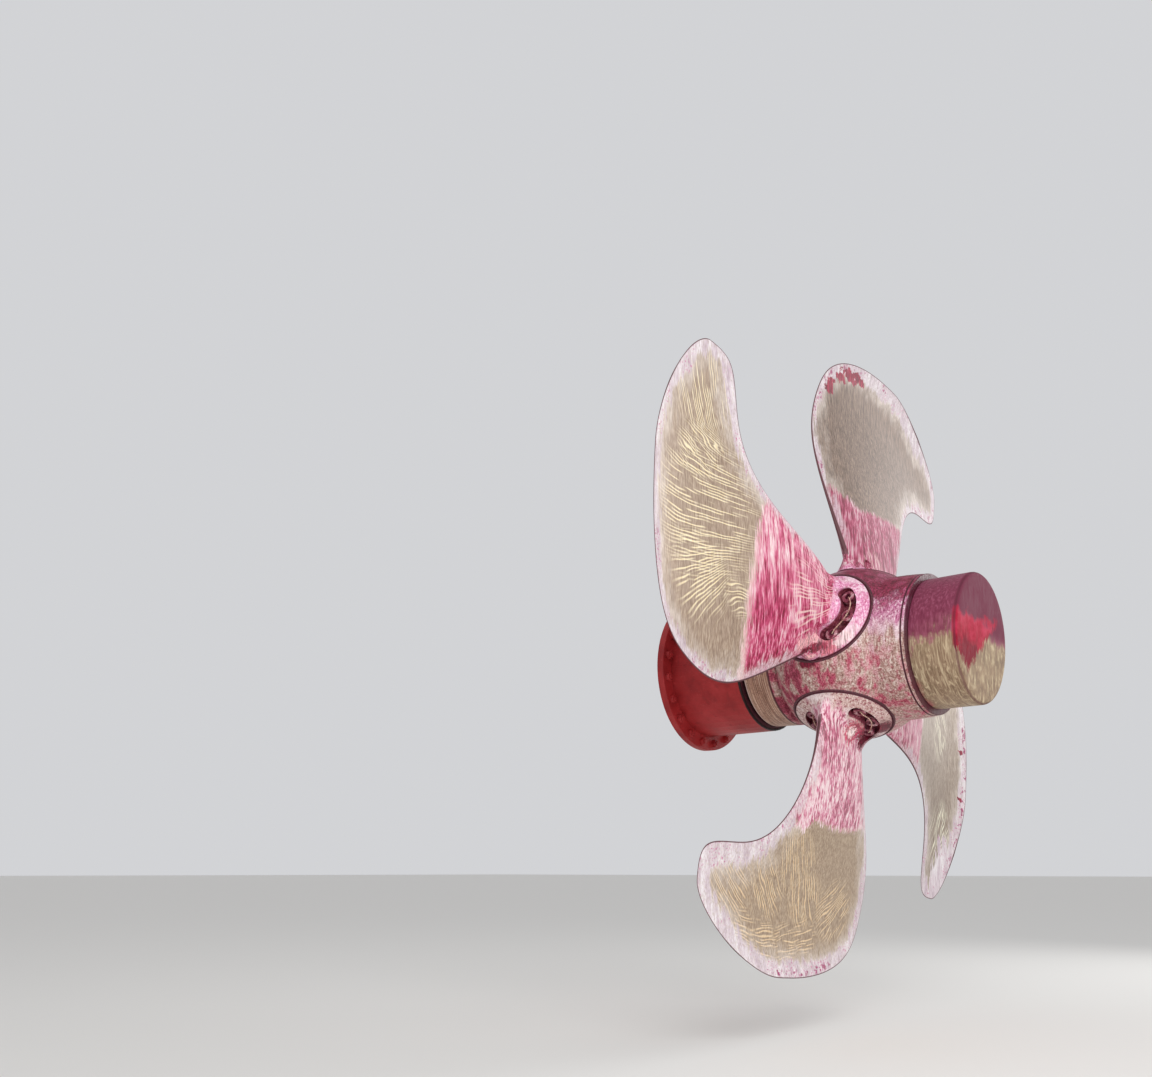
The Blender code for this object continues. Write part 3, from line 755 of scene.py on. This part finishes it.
def bladeFields(mesh, number):
    # The unrolled place of each point, its distance from the outline, from the
    # masked line, from the border's inner edge and from the foot's rim, and its
    # height above the hub's ball, kept on the mesh
    points = np.empty(len(mesh.vertices) * 3, np.float32)
    mesh.vertices.foreach_get("co", points)
    points = points.reshape(-1, 3).astype(float)
    looks = bladeLooks[number]
    outward = np.hypot(points[:, 1], points[:, 2])
    across = np.arctan2(points[:, 1], points[:, 2]) * outward
    radius = np.linspace(0.08, 1.0, edgePoints) ** 0.5 * bladeShape["radius"]
    lead, trail, _ = bladeEdges(radius)
    leadEdge = edgeDistance(across, outward, np.append(lead, trail[-1]), np.append(radius, radius[-1]))
    trailEdge = edgeDistance(across, outward, trail, radius)
    outer = np.clip((outward - borderWidens[0]) / borderWidens[1], 0.0, 1.0)
    outer = outer ** 2 * (3.0 - 2.0 * outer)
    leadNear, leadFar, trailNear, trailFar = looks["border"]
    leadWidth = leadNear + (leadFar - leadNear) * outer
    trailWidth = trailNear + (trailFar - trailNear) * outer
    line = np.array(looks["maskLine"])
    rise = np.linalg.norm(points, axis=1) - hubBall
    plan = np.hypot(points[:, 0], points[:, 1])
    fields = {
        "across": across,
        "outward": outward,
        "edgeReach": np.minimum(leadEdge, trailEdge),
        "bandReach": np.minimum(leadEdge - leadWidth, trailEdge - trailWidth),
        "maskReach": outward - np.interp(across, line[:, 0], line[:, 1]),
        "rimReach": np.where(rise < 0.01, plan - bladeShape["footRadius"], -1.0),
        "rise": rise,
    }
    for name, values in fields.items():
        attribute = mesh.attributes.new(name, "FLOAT", "POINT")
        attribute.data.foreach_set("value", np.asarray(values, np.float32))


# Finishes of one noise: the tones at these values of it, how metallic and rough, the
# (scale, detail) of the noise and of a finer one for the relief where there is one
plainLooks = {
    "bolt_finish": {"tones": ((0.38, 96, 28, 50), (0.52, 150, 74, 92), (0.62, 206, 170, 174)),
                    "metallic": 0.3, "roughness": 0.42, "noise": (26.0, 4.0), "relief": (190.0, 3.0)},
    "wire_finish": {"tones": ((0.36, 170, 110, 108), (0.5, 206, 168, 152), (0.66, 230, 208, 186)),
                    "metallic": 0.6, "roughness": 0.45, "noise": (40.0, 4.0)},
    "rubber_finish": {"tones": ((0.35, 56, 18, 28), (0.7, 104, 48, 60)),
                      "metallic": 0.0, "roughness": 0.6, "noise": (140.0, 4.0)},
}
# Turned metal with fine rings round the shaft: its two tones and its roughness
turnedLooks = {
    "shaft_finish": ((112, 110, 108), (176, 174, 170), 0.38),
    "liner_finish": ((168, 170, 174), (206, 208, 212), 0.18),
    "bush_finish": ((142, 120, 78), (182, 160, 112), 0.5),
}


def plainFinish(name):
    looks = plainLooks[name]
    material, world = newFinish(name)
    noise = grain(world, *looks["noise"])
    height = grain(world, *looks["relief"]) if "relief" in looks else noise
    colour = colourRamp(noise, *looks["tones"])
    return setFinish(material, colour, looks["metallic"], looks["roughness"], height, 0.0006)


def turnedFinish(name):
    dark, light, roughness = turnedLooks[name]
    material, world = newFinish(name)
    rings = grain(stretched(world, (1.0, 0.1, 0.1)), 150.0)
    colour = colourRamp(rings, (0.32, *dark), (0.68, *light))
    return setFinish(material, colour, 0.9, roughness, rings, 0.0004)


# Bolts in the pockets

boltShape = {
    "radius": 0.036,
    "height": 0.044,
    "socket": 0.017,                # half the width across the socket's flats
    "socketDepth": 0.022,
    "socketBevel": 0.002,
    "socketDraft": 0.97,            # width below its bevel, as a share of its mouth
    "faceShare": 0.62,              # ring of points on the flat top, share of the radius
    "ease": 0.004,
    "angles": (-44.0, 0.0, 44.0),   # from the middle of the pocket
    "columns": 48,
}
wireShape = {
    "radius": 0.0022,
    "lift": 2.2,                    # above the heads, in wire radii
    "slack": 0.007,
    "dip": 0.012,
    "dipShare": 0.10,
    "twists": 11,
    "rows": 150,
    "sides": 8,
}


def boltMesh():
    # Round head, turned from its outline, with a six-sided socket sunk in it
    tall, radius, columns = boltShape["height"], boltShape["radius"], boltShape["columns"]
    wall = easedOutline([(0.0, 0.0, 0.0), (0.0, radius, 0.0), (tall, radius, boltShape["ease"]),
                         (tall, radius * boltShape["faceShare"], 0.0)], closed=False, steps=3)
    flat = hexRadius(boltShape["socket"], columns)
    deep = tall - boltShape["socketDepth"]
    inner = flat * boltShape["socketDraft"]
    radii = np.vstack([wall[:, 1:] + 0.0 * flat, flat, inner, inner, 0.0 * flat])
    heights = np.concatenate([wall[:, 0], [tall, tall - boltShape["socketBevel"], deep, deep]])
    return surfaceMesh("bolt", turnedGrid(heights, radii, columns))


def wireMesh(middleAngle):
    # Two twisted strands: each runs round the bolt circle over the heads, set off
    # from the common path by one wire radius at the twist's angle, and both ends dip
    # into the sockets
    share = np.linspace(0.0, 1.0, wireShape["rows"])
    first, *_, last = boltShape["angles"]
    angle = np.radians(middleAngle + first + share * (last - first))
    thick = wireShape["radius"]
    end = np.clip(np.minimum(share, 1.0 - share) / wireShape["dipShare"], 0.0, 1.0)
    rise = end * end * (3.0 - 2.0 * end)
    reach = pocketShape["circle"] - wireShape["slack"] * np.sin(2.0 * pi * share)
    level = pocketFloor + boltShape["height"] + wireShape["lift"] * thick - wireShape["dip"] * (1.0 - rise)
    path = np.stack([reach * np.cos(angle), reach * np.sin(angle), level], axis=-1)
    forward = np.gradient(path, axis=0)
    forward /= np.linalg.norm(forward, axis=1, keepdims=True)
    side = np.cross(forward, (0.0, 0.0, 1.0))
    side /= np.linalg.norm(side, axis=1, keepdims=True)
    above = np.cross(side, forward)
    around = np.linspace(0.0, 2.0 * pi, wireShape["sides"], endpoint=False)[None, :, None]
    section = np.cos(around) * side[:, None] + np.sin(around) * above[:, None]
    strands = []
    for start in (0.0, pi):
        twist = (start + share * 2.0 * pi * wireShape["twists"])[:, None]
        centre = path + thick * (np.cos(twist) * side + np.sin(twist) * above)
        tube = centre[:, None] + thick * section
        caps = [np.broadcast_to(centre[i], (1, wireShape["sides"], 3)) for i in (0, -1)]
        strands.append(surfaceMesh("strand", np.concatenate([caps[0], tube, caps[1]])))
    return joinedMesh("wire", strands)


def fourBlades():
    cast = cutMesh(bladeMesh(), [pocketCutter(middle) for middle in pocketShape["middles"]])
    bolt = boltMesh()
    circle, seat = pocketShape["circle"], pocketFloor + touchGap
    heads = []
    for middle in pocketShape["middles"]:
        for angle in np.radians(np.array(boltShape["angles"]) + middle):
            place = Matrix.Translation((circle * np.cos(angle), circle * np.sin(angle), seat))
            heads.append(movedCopy(bolt, "head", place @ Matrix.Rotation(angle, 4, "Z")))
    bolts = joinedMesh("bolts", heads)
    wires = joinedMesh("wires", [wireMesh(middle) for middle in pocketShape["middles"]])
    boltLook, wireLook = plainFinish("bolt_finish"), plainFinish("wire_finish")
    for number, body in enumerate(bodyNames, start=1):
        place = bladeFrame(number)
        mesh = cast.copy()
        bladeFields(mesh, number)
        mesh.transform(place)
        addPiece(f"blade_{number}_cast", mesh, bladeFinish(number), body, [f"blade_{number}"])
        addPiece(f"blade_{number}_bolts", movedCopy(bolts, "bolts", place), boltLook, body)
        addPiece(f"blade_{number}_locking_wires", movedCopy(wires, "wires", place), wireLook, body)
    print("blades, bolts and locking wires made")


# Hub, rings and cap

hubShape = {
    "aftRadius": 0.392,
    "aftSwell": 0.010,
    "aftChamfer": 0.003,
    "foreChamfer": 0.004,
    "foreGroove": 0.020,
    "footClearance": 0.001,
    "sealWidth": 0.014,
    "sealSink": 0.003,
    "spigotClearance": 0.002,
    "portChamfer": 0.003,
    "portEdge": 0.004,              # how far the chamfer starts below and ends above the foot's rim
    "portTop": 0.60,
    "columns": 256,
    "neckRows": 24,
    "ballRows": 90,
    "sealRows": 9,
    # place from the hub's centre, reach, tone
    "darkSpots": (((-0.075, -0.470, -0.105), 0.032, (124, 18, 48)),
                  ((-0.046, -0.473, -0.114), 0.034, (124, 18, 48)),
                  ((-0.016, -0.475, -0.115), 0.026, (124, 18, 48))),
}
sealInside = bladeShape["footRadius"] + hubShape["footClearance"]
portRadius = sealInside + hubShape["sealWidth"] + 2.0 * touchGap


def hubMesh():
    # Ball of the hub between its forward edge and the swelling aft neck, turned
    # round the shaft, less four stepped ports for the blade feet
    low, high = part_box("hub_body")
    fore, aft = low.x - hubCentre[0], high.x - hubCentre[0]
    neckRadius, swell, chamfer = hubShape["aftRadius"], hubShape["aftSwell"], hubShape["aftChamfer"]
    meet = sqrt(hubBall ** 2 - (neckRadius + swell) ** 2)
    foreRadius = sqrt(hubBall ** 2 - fore ** 2)
    x = np.linspace(meet, fore + hubShape["foreChamfer"], hubShape["ballRows"])
    ball = np.column_stack([x, np.sqrt(hubBall ** 2 - x ** 2)])
    share = np.linspace(1.0, 0.0, hubShape["neckRows"], endpoint=False)[1:]
    neck = np.column_stack([meet + (aft - meet) * share, neckRadius + swell * (1.0 - share ** 2)])
    aftFace = [(aft, 0.0), (aft, neckRadius - 2.0 * chamfer), (aft, neckRadius - chamfer)]
    foreFace = [(fore, foreRadius - hubShape["foreGroove"]), (fore, 0.0)]
    outline = np.vstack([aftFace, neck, ball, foreFace]) + (hubCentre[0], 0.0)
    socket = bladeShape["spigotRadius"] + hubShape["spigotClearance"]
    bottom = footUnderside - bladeShape["spigotLength"] - hubShape["spigotClearance"]
    step, edge, top = footUnderside - touchGap, hubShape["portEdge"], hubShape["portTop"]
    mouth = portRadius + hubShape["portChamfer"]
    port = np.array([(bottom, 0.0), (bottom, socket), (step, socket), (step, portRadius),
                     (footHeight - edge, portRadius), (footHeight + edge, mouth), (top, mouth), (top, 0.0)])
    drum = surfaceMesh("port", turnedGrid(port[:, 0], port[:, 1]))
    cutters = [movedCopy(drum, "port", bladeFrame(number)) for number in (1, 2, 3, 4)]
    return cutMesh(shaftMesh("hub", outline, False, hubShape["columns"]), cutters)


def sealMesh():
    # Ring in the groove round the foot, its top a half round
    low, high = footUnderside, footHeight - hubShape["sealSink"]
    half = 0.5 * hubShape["sealWidth"]
    turn = np.linspace(0.0, pi, hubShape["sealRows"])
    top = np.column_stack([high - half + half * np.sin(turn), sealInside + half - half * np.cos(turn)])
    outline = np.vstack([(low, sealInside), top, (low, sealInside + 2.0 * half)])
    return surfaceMesh("seal", turnedGrid(outline[:, 0], outline[:, 1]), wrapRows=True)


def hubFinish(name, seams, pinkness):
    # Cast bronze under dye and chalk: plum dye above, darkened there as painted shade, lilac at the
    # shoulder with a painted white highlight, spotted tan below with hanging magenta patches, painted shade
    # at the joints
    material, world = newFinish(name)
    along, _, level = parts(world)
    fine = spread(grain(stretched(world, (1.0, 1.0, 0.16)), 95.0))
    broad = spread(grain(stretched(world, (1.0, 1.0, 0.35)), 19.0))
    speck = spread(grain(world, 26.0, 4.0, 0.65))
    cloud = spread(grain(world, 7.0))
    grit = spread(grain(world, 120.0, 2.0))
    base = colourRamp(fine, (0.0, 154, 118, 108), (0.5, 184, 152, 144), (1.0, 214, 198, 188))
    base = blend(fade(broad, 0.40, 0.85) * 0.70, base, (212, 160, 166))
    base = blend(fade(speck, 0.60, 0.90) * 0.60, base, (158, 66, 84))
    forward = fade(along, hubCentre[0] + 0.02, hubCentre[0] - 0.30)
    patch = broad * 0.55 + cloud * 0.45 + (fine - 0.5) * 0.25 + forward * 0.22 + pinkness
    base = blend(fade(patch, 0.48, 0.84) * 0.85, base, (172, 50, 84))
    base = blend(fade(patch, 0.80, 0.95) * 0.6, base, (120, 18, 50))

    shoulder = level - shaftHeight + (broad - 0.5) * 0.10
    lilac = colourRamp(fine, (0.0, 172, 86, 132), (0.55, 196, 130, 164), (1.0, 228, 200, 212))
    base = blend(fade(shoulder, -0.03, 0.09) * 0.85, base, lilac)
    # Painted highlight: a white band across the shoulder, strongest where the broad noise is high
    paintedHighlight = fade(shoulder, -0.06, 0.02) * fade(shoulder, 0.12, 0.05)
    base = blend(paintedHighlight * (broad * 0.9), base, (240, 230, 232))
    # Plum dye towards the top, made darker there as painted shade
    plum = colourRamp(broad, (0.0, 108, 26, 50), (0.6, 136, 44, 72), (1.0, 164, 76, 108))
    colour = blend(fade(shoulder, 0.13, 0.25), base, plum)
    colour = speckled(colour, grit, 0.75)
    colour = spotted(colour, world, speck, fine, hubShape["darkSpots"], Matrix.Translation(hubCentre))
    # Painted shade at the hub's joints
    colour = seamShade(colour, along, seams, 0.006, (76, 22, 38))
    rough = 0.55 - fade(shoulder, 0.10, 0.25) * 0.17
    return setFinish(material, colour, 0.08, rough, speck + fine * 0.5, 0.0012, specular=0.35)


def capFinish():
    # Plum dye above a ragged line, ground bronze below with strokes round the cap, a darker plum
    # of painted shade on the end face's upper part, a crimson run on the end face, and painted shade at the
    # forward joint
    material, world = newFinish("cap_finish")
    low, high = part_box("hub_cap")
    x, aside, level = parts(world)
    along = x - high.x
    level = level - shaftHeight
    around = grain(stretched(world, (105.0, 9.0, 9.0)), 1.0, distortion=0.3)
    cross = grain(stretched(world, (60.0, 40.0, 12.0), (4.0, 0.0, 0.0)), 1.0, distortion=0.6)
    hanging = spread(grain(stretched(world, (1.0, 1.0, 0.14)), 95.0))
    cloud = spread(grain(world, 9.0, 4.0))
    brushed = spread(compute("MAXIMUM", around, cross * 0.97), 0.42, 0.66)
    tan = colourRamp(brushed, (0.0, 126, 104, 82), (0.5, 158, 136, 110), (1.0, 202, 184, 152))
    tan = blend(cloud * 0.30, tan, (156, 126, 104))
    plum = colourRamp(hanging, (0.0, 112, 42, 66), (0.6, 126, 54, 78), (1.0, 142, 72, 96))
    hangingShift, cloudShift = (hanging - 0.5) * 0.05, (cloud - 0.5) * 0.07
    line = level + 0.02 + along * -0.24 + hangingShift + cloudShift
    colour = blend(fade(line, -0.01, 0.07), tan, plum)
    pale = fade(line, -0.02, 0.06) * fade(line, 0.13, 0.06)
    colour = blend(pale * (hanging * 0.3), colour, (180, 122, 130))
    endFace = fade(along, -0.028, -0.012)
    # The run's lower edge dips in a tooth a little way in from the near side
    below = level - abs(aside + 0.20) * 0.75 + hangingShift
    run = fade(below, -0.205, -0.19) * fade(level + cloudShift, 0.13, 0.08) * endFace
    crimson = level * 3.0 + cloud * 0.6
    crimson = colourRamp(crimson, (0.0, 124, 10, 36), (0.35, 164, 20, 50), (0.8, 194, 52, 82))
    # Painted shade: the end face's upper part takes a darker plum than the cap's side
    colour = blend(fade(level, -0.02, 0.06) * endFace, colour, (112, 44, 66))
    colour = blend(run, colour, crimson)
    corner = fade(along, -0.020, -0.012) * fade(along, -0.002, -0.008)
    colour = blend(corner * 0.65, colour, (84, 30, 46))
    smear = fade(x, low.x + 0.05, low.x) * fade(level, -0.22, -0.28)
    colour = blend(smear * cloud, colour, (172, 40, 84))
    # Painted shade at the cap's forward joint
    colour = seamShade(colour, x, [low.x], 0.008, (76, 22, 38))
    rough = brushed * 0.14 + 0.40 + endFace * 0.25
    return setFinish(material, colour, 0.0, rough, brushed, 0.0008, specular=0.22)


def ringFinish():
    # Turned bronze, dull, with fine rings, paler edges and painted shade at the aft joint
    material, world = newFinish("ring_finish")
    low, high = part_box("shaft_flange_ring")
    along, _, _ = parts(world)
    rings = spread(grain(stretched(world, (160.0, 4.0, 4.0)), 1.0))
    cloud = spread(grain(world, 14.0, 4.0))
    speck = spread(grain(world, 80.0))
    colour = colourRamp(rings, (0.0, 122, 86, 69), (0.5, 177, 133, 110), (1.0, 216, 186, 164))
    colour = blend(cloud * 0.25, colour, (166, 126, 112))
    colour = blend(fade(speck, 0.65, 0.95) * 0.5, colour, (96, 60, 50))
    paler = fade(along, low.x + 0.018, low.x + 0.008) * fade(along, low.x + 0.001, low.x + 0.005)
    colour = blend(paler * 0.75, colour, (212, 186, 180))
    # Painted shade at the ring's aft joint
    colour = seamShade(colour, along, [high.x], 0.012, (80, 24, 38))
    return setFinish(material, colour, 0.25, 0.48, rings, 0.0008)


def redPaintFinish():
    # Matt underwater paint with brush clouds, pinholes and a dark aft edge on the guard
    material, world = newFinish("red_paint_finish")
    cloud = grain(world, 5.0, 4.0)
    pores = grain(world, 120.0, 4.0, 0.65)
    hanging = grain(stretched(world, (1.0, 1.0, 0.2)), 30.0)
    colour = colourRamp(cloud, (0.32, 132, 30, 34), (0.5, 158, 40, 42), (0.68, 176, 52, 54))
    colour = blend(fade(hanging, 0.56, 0.68) * 0.35, colour, (120, 34, 36))
    colour = blend(fade(pores, 0.62, 0.70) * 0.5, colour, (196, 92, 88))
    along, _, _ = parts(world)
    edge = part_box("rope_guard_upper")[1].x
    colour = blend(fade(along, edge - 0.013, edge - 0.009), colour, (34, 18, 20))
    return setFinish(material, colour, 0.0, 0.48, pores + cloud, 0.0012, specular=0.25)


# Turned pieces and the flange's nuts

gearShape = {
    "foreBevel": 0.027,
    "ringBevel": (0.006, 0.005, 0.011),     # how long it is, how deep it starts and ends
    "capWall": 0.045,
    "capEnd": 0.060,
    "capEdge": 0.026,
    "sealClearance": 0.006,
    "sealCollar": 0.050,                    # length of the housing's wide aft end
    "sealBody": 0.325,
    "bushClearance": 0.0007,
    "flangePlate": 0.045,
    "flangeFillet": 0.020,
}
nutShape = {
    "count": 20,
    "acrossFlats": 0.046,
    "height": 0.022,
    "chamfer": 0.004,
    "faceInset": 0.001,
    "studRadius": 0.014,
    "studRise": 0.008,
    "studChamfer": 0.002,
    "columns": 24,
}


def nutMesh():
    # Six-sided nut, turned from rows of its hexagon's radius, with the stud's end above it
    half, columns = 0.5 * nutShape["acrossFlats"], nutShape["columns"]
    stud, bevel = nutShape["studRadius"], nutShape["studChamfer"]
    tall, top = nutShape["height"], nutShape["height"] + nutShape["studRise"]
    flat = hexRadius(half, columns)
    face = half - nutShape["faceInset"]
    rounds = [inside + 0.0 * flat for inside in (face, stud, stud, stud - bevel, 0.0)]
    radii = np.stack([0.0 * flat, flat, flat, *rounds])
    heights = np.array([0.0, 0.0, tall - nutShape["chamfer"], tall, tall, top - bevel, top, top])
    return surfaceMesh("nut", turnedGrid(heights, radii, columns))


def flangeNuts(face, circle):
    # Nuts on a circle round the shaft, standing on a face
    nut = nutMesh()
    nuts = []
    for i in range(nutShape["count"]):
        angle = 2.0 * pi * (i + 0.5) / nutShape["count"]
        seat = (face, circle * np.sin(angle), shaftHeight + circle * np.cos(angle))
        nuts.append(movedCopy(nut, "nut", Matrix.Translation(seat) @ Matrix.Rotation(-angle, 4, "X")
                              @ Matrix.Rotation(0.5 * pi, 4, "Y")))
    return joinedMesh("nuts", nuts)


def ringCorners(span, inside, eases):
    # Section of a plain ring, aft along its bore and back along its outside. Without a
    # bore it is a solid one, and its outline starts and ends on the axis.
    start, end, radius = span
    places = ((start, inside), (end, inside), (end, radius), (start, radius))
    corners = [(*place, ease) for place, ease in zip(places, eases)]
    return corners if inside > 0.0 else corners[1:] + corners[:1]


def turnedPiece(node, corners, finish, body, ending="turned"):
    # Corners (along, radius, ease) of the piece that stands for a node. An outline that
    # starts on the axis stays open there.
    closed = corners[0][1] > 0.0
    mesh = shaftMesh(ending, easedOutline(corners, closed), closed)
    addPiece(f"{node}_{ending}", mesh, finish, body, [node])


def sternAndHub():
    # Ends and outer radii are read from the frame, and each bore fits what it holds
    sizes, spans = gearShape, {}
    for node in frame["nodes"]:
        low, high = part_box(node)
        spans[node] = (low.x, high.x, 0.5 * (high.z - low.z))
    seams = [end for node in ("hub_body", "hub_aft_ring", "hub_fore_ring") for end in spans[node][:2]]
    hubLook = hubFinish("hub_finish", seams, 0.0)
    foreLook = hubFinish("fore_ring_finish", seams, 0.16)
    rubber, red, steel = plainFinish("rubber_finish"), redPaintFinish(), turnedFinish("shaft_finish")
    shaftRadius = spans["propeller_shaft"][2]
    bore = shaftRadius + touchGap

    addPiece("hub_casting", hubMesh(), hubLook, "rotor", ["hub_body"])
    seal = sealMesh()
    for number in (1, 2, 3, 4):
        addPiece(f"blade_{number}_seal_ring", movedCopy(seal, "seal", bladeFrame(number)), rubber, "rotor",
                 [f"blade_{number}_seal"])

    start, end, radius = spans["hub_fore_ring"]
    groove = sqrt(hubBall ** 2 - (spans["hub_body"][0] - hubCentre[0]) ** 2) - hubShape["foreGroove"]
    corners = ((start, bore, 0.0), (end, bore, 0.0), (end, groove, 0.0),
               (end - sizes["foreBevel"], radius, 0.003), (start, radius, 0.003))
    turnedPiece("hub_fore_ring", corners, foreLook, "rotor")

    start, end, radius = spans["shaft_flange_ring"]
    length, outer, inner = sizes["ringBevel"]
    corners = ((start, bore, 0.0), (end, bore, 0.0), (end, radius, 0.0025),
               (start + length, radius - outer, 0.002), (start, radius - inner, 0.002))
    turnedPiece("shaft_flange_ring", corners, ringFinish(), "rotor")

    corners = ringCorners(spans["hub_aft_ring"], 0.0, (0.0, 0.0, 0.0045, 0.0045))
    turnedPiece("hub_aft_ring", corners, hubLook, "rotor")

    start, end, radius = spans["hub_cap"]
    inside, floor = radius - sizes["capWall"], end - sizes["capEnd"]
    corners = ((end, 0.0, 0.0), (end, radius, sizes["capEdge"]), (start, radius, 0.002), (start, inside, 0.0),
               (floor, inside, 0.012), (floor, 0.0, 0.0))
    turnedPiece("hub_cap", corners, capFinish(), "rotor", ending="casting")

    corners = ringCorners(spans["propeller_shaft"], 0.0, (0.0, 0.0, 0.0, 0.004))
    turnedPiece("propeller_shaft", corners, steel, "rotor")
    corners = ringCorners(spans["seal_liner"], bore, (0.0, 0.0, 0.0015, 0.003))
    turnedPiece("seal_liner", corners, turnedFinish("liner_finish"), "rotor")

    start, end, radius = spans["aft_seal_housing"]
    inside, step = spans["seal_liner"][2] + sizes["sealClearance"], end - sizes["sealCollar"]
    corners = ((start, inside, 0.0), (end, inside, 0.002), (end, radius, 0.003), (step, radius, 0.002),
               (step, sizes["sealBody"], 0.003), (start, sizes["sealBody"], 0.003))
    turnedPiece("aft_seal_housing", corners, rubber, "stern_gear")

    inside = shaftRadius + sizes["bushClearance"]
    corners = ringCorners(spans["stern_tube_bush"], inside, (0.001, 0.0, 0.0, 0.002))
    turnedPiece("stern_tube_bush", corners, turnedFinish("bush_finish"), "stern_gear")
    inside = spans["stern_tube_bush"][2] + touchGap
    corners = ringCorners(spans["stern_tube"], inside, (0.0, 0.0, 0.003, 0.0))
    turnedPiece("stern_tube", corners, red, "stern_gear")

    start, end, radius = spans["stern_flange"]
    inside, face = spans["stern_tube"][2] + touchGap, start + sizes["flangePlate"]
    fillet = inside + sizes["flangeFillet"]
    corners = ((start, inside, 0.0), (end, inside, 0.0), (face, fillet, 0.006), (face, radius, 0.003),
               (start, radius, 0.003))
    turnedPiece("stern_flange", corners, red, "stern_gear")

    guardLow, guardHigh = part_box("rope_guard_upper")
    circle = 0.5 * (max(0.5 * (guardHigh.y - guardLow.y), fillet) + radius)
    addPiece("stern_flange_nuts", flangeNuts(face, circle), red, "stern_gear", sharp=30.0)
    for name in ("rope_guard_upper", "rope_guard_lower"):
        for slot in frame["nodes"][name].material_slots:
            slot.material = red
    print("hub, rings, cap and stern gear made")


fourBlades()
sternAndHub()


# Floor, light and camera

stageShape = {
    "floorLevel": -1.75,
    "floorSize": 400.0,
    "floorColour": (226, 224, 220),
    "skyColour": (232, 233, 236),
    "skyStrength": 0.80,
}

half, level = 0.5 * stageShape["floorSize"], stageShape["floorLevel"]
corners = [(-half, -half, level), (half, -half, level), (half, half, level), (-half, half, level)]
floorMesh = bpy.data.meshes.new("studio_floor")
floorMesh.from_pydata(corners, [], [(0, 1, 2, 3)])
floor = sceneObject("studio_floor", floorMesh)
material = bpy.data.materials.new("studio_floor_finish")
material.use_nodes = True
shader = material.node_tree.nodes["Principled BSDF"]
plug(shader, {"Base Color": tone(stageShape["floorColour"]), "Roughness": 0.9})
floorMesh.materials.append(material)

bpy.context.scene.view_settings.view_transform = "Standard"
studio = bpy.data.worlds.new("studio")
studio.use_nodes = True
background = studio.node_tree.nodes["Background"]
plug(background, {0: tone(stageShape["skyColour"]), 1: stageShape["skyStrength"]})
bpy.context.scene.world = studio

studioLights = {
    "key": {"kind": "AREA", "place": (6.0, -6.0, 4.5), "size": 5.0, "power": 330.0},
    "fill": {"kind": "AREA", "place": (3.5, 6.5, 2.7), "size": 4.5, "power": 165.0},
    "low": {"kind": "SPOT", "place": (6.5, -4.0, -0.4), "size": 1.7, "power": 360.0, "cone": 64.0,
            "softness": 0.7},
}
for name, values in studioLights.items():
    light = bpy.data.lights.new(name, values["kind"])
    light.energy = values["power"]
    if values["kind"] == "SPOT":
        light.shadow_soft_size = 0.5 * values["size"]
        light.spot_size = radians(values["cone"])
        light.spot_blend = values["softness"]
    else:
        light.size = values["size"]
    lamp = sceneObject(name, light)
    lamp.location = values["place"]
    lamp.rotation_euler = (Vector(hubCentre) - Vector(values["place"])).to_track_quat("-Z", "Y").to_euler()

photoCamera = {
    "place": (4.0846, -5.9514, -0.8443),
    "turn": (92.5910, -0.0299, 40.8960),    # degrees
    "lens": 35.13,                          # millimetres on a sensor 36 mm wide
    "shiftUp": 0.2444,                      # the frame lies above the lens axis
}
lens = bpy.data.cameras.new("photo_camera")
lens.lens = photoCamera["lens"]
lens.sensor_width = 36.0
lens.shift_y = photoCamera["shiftUp"]
camera = sceneObject("photo_camera", lens)
camera.location = photoCamera["place"]
camera.rotation_euler = [radians(angle) for angle in photoCamera["turn"]]
bpy.context.scene.camera = camera
print("floor, light and camera set")
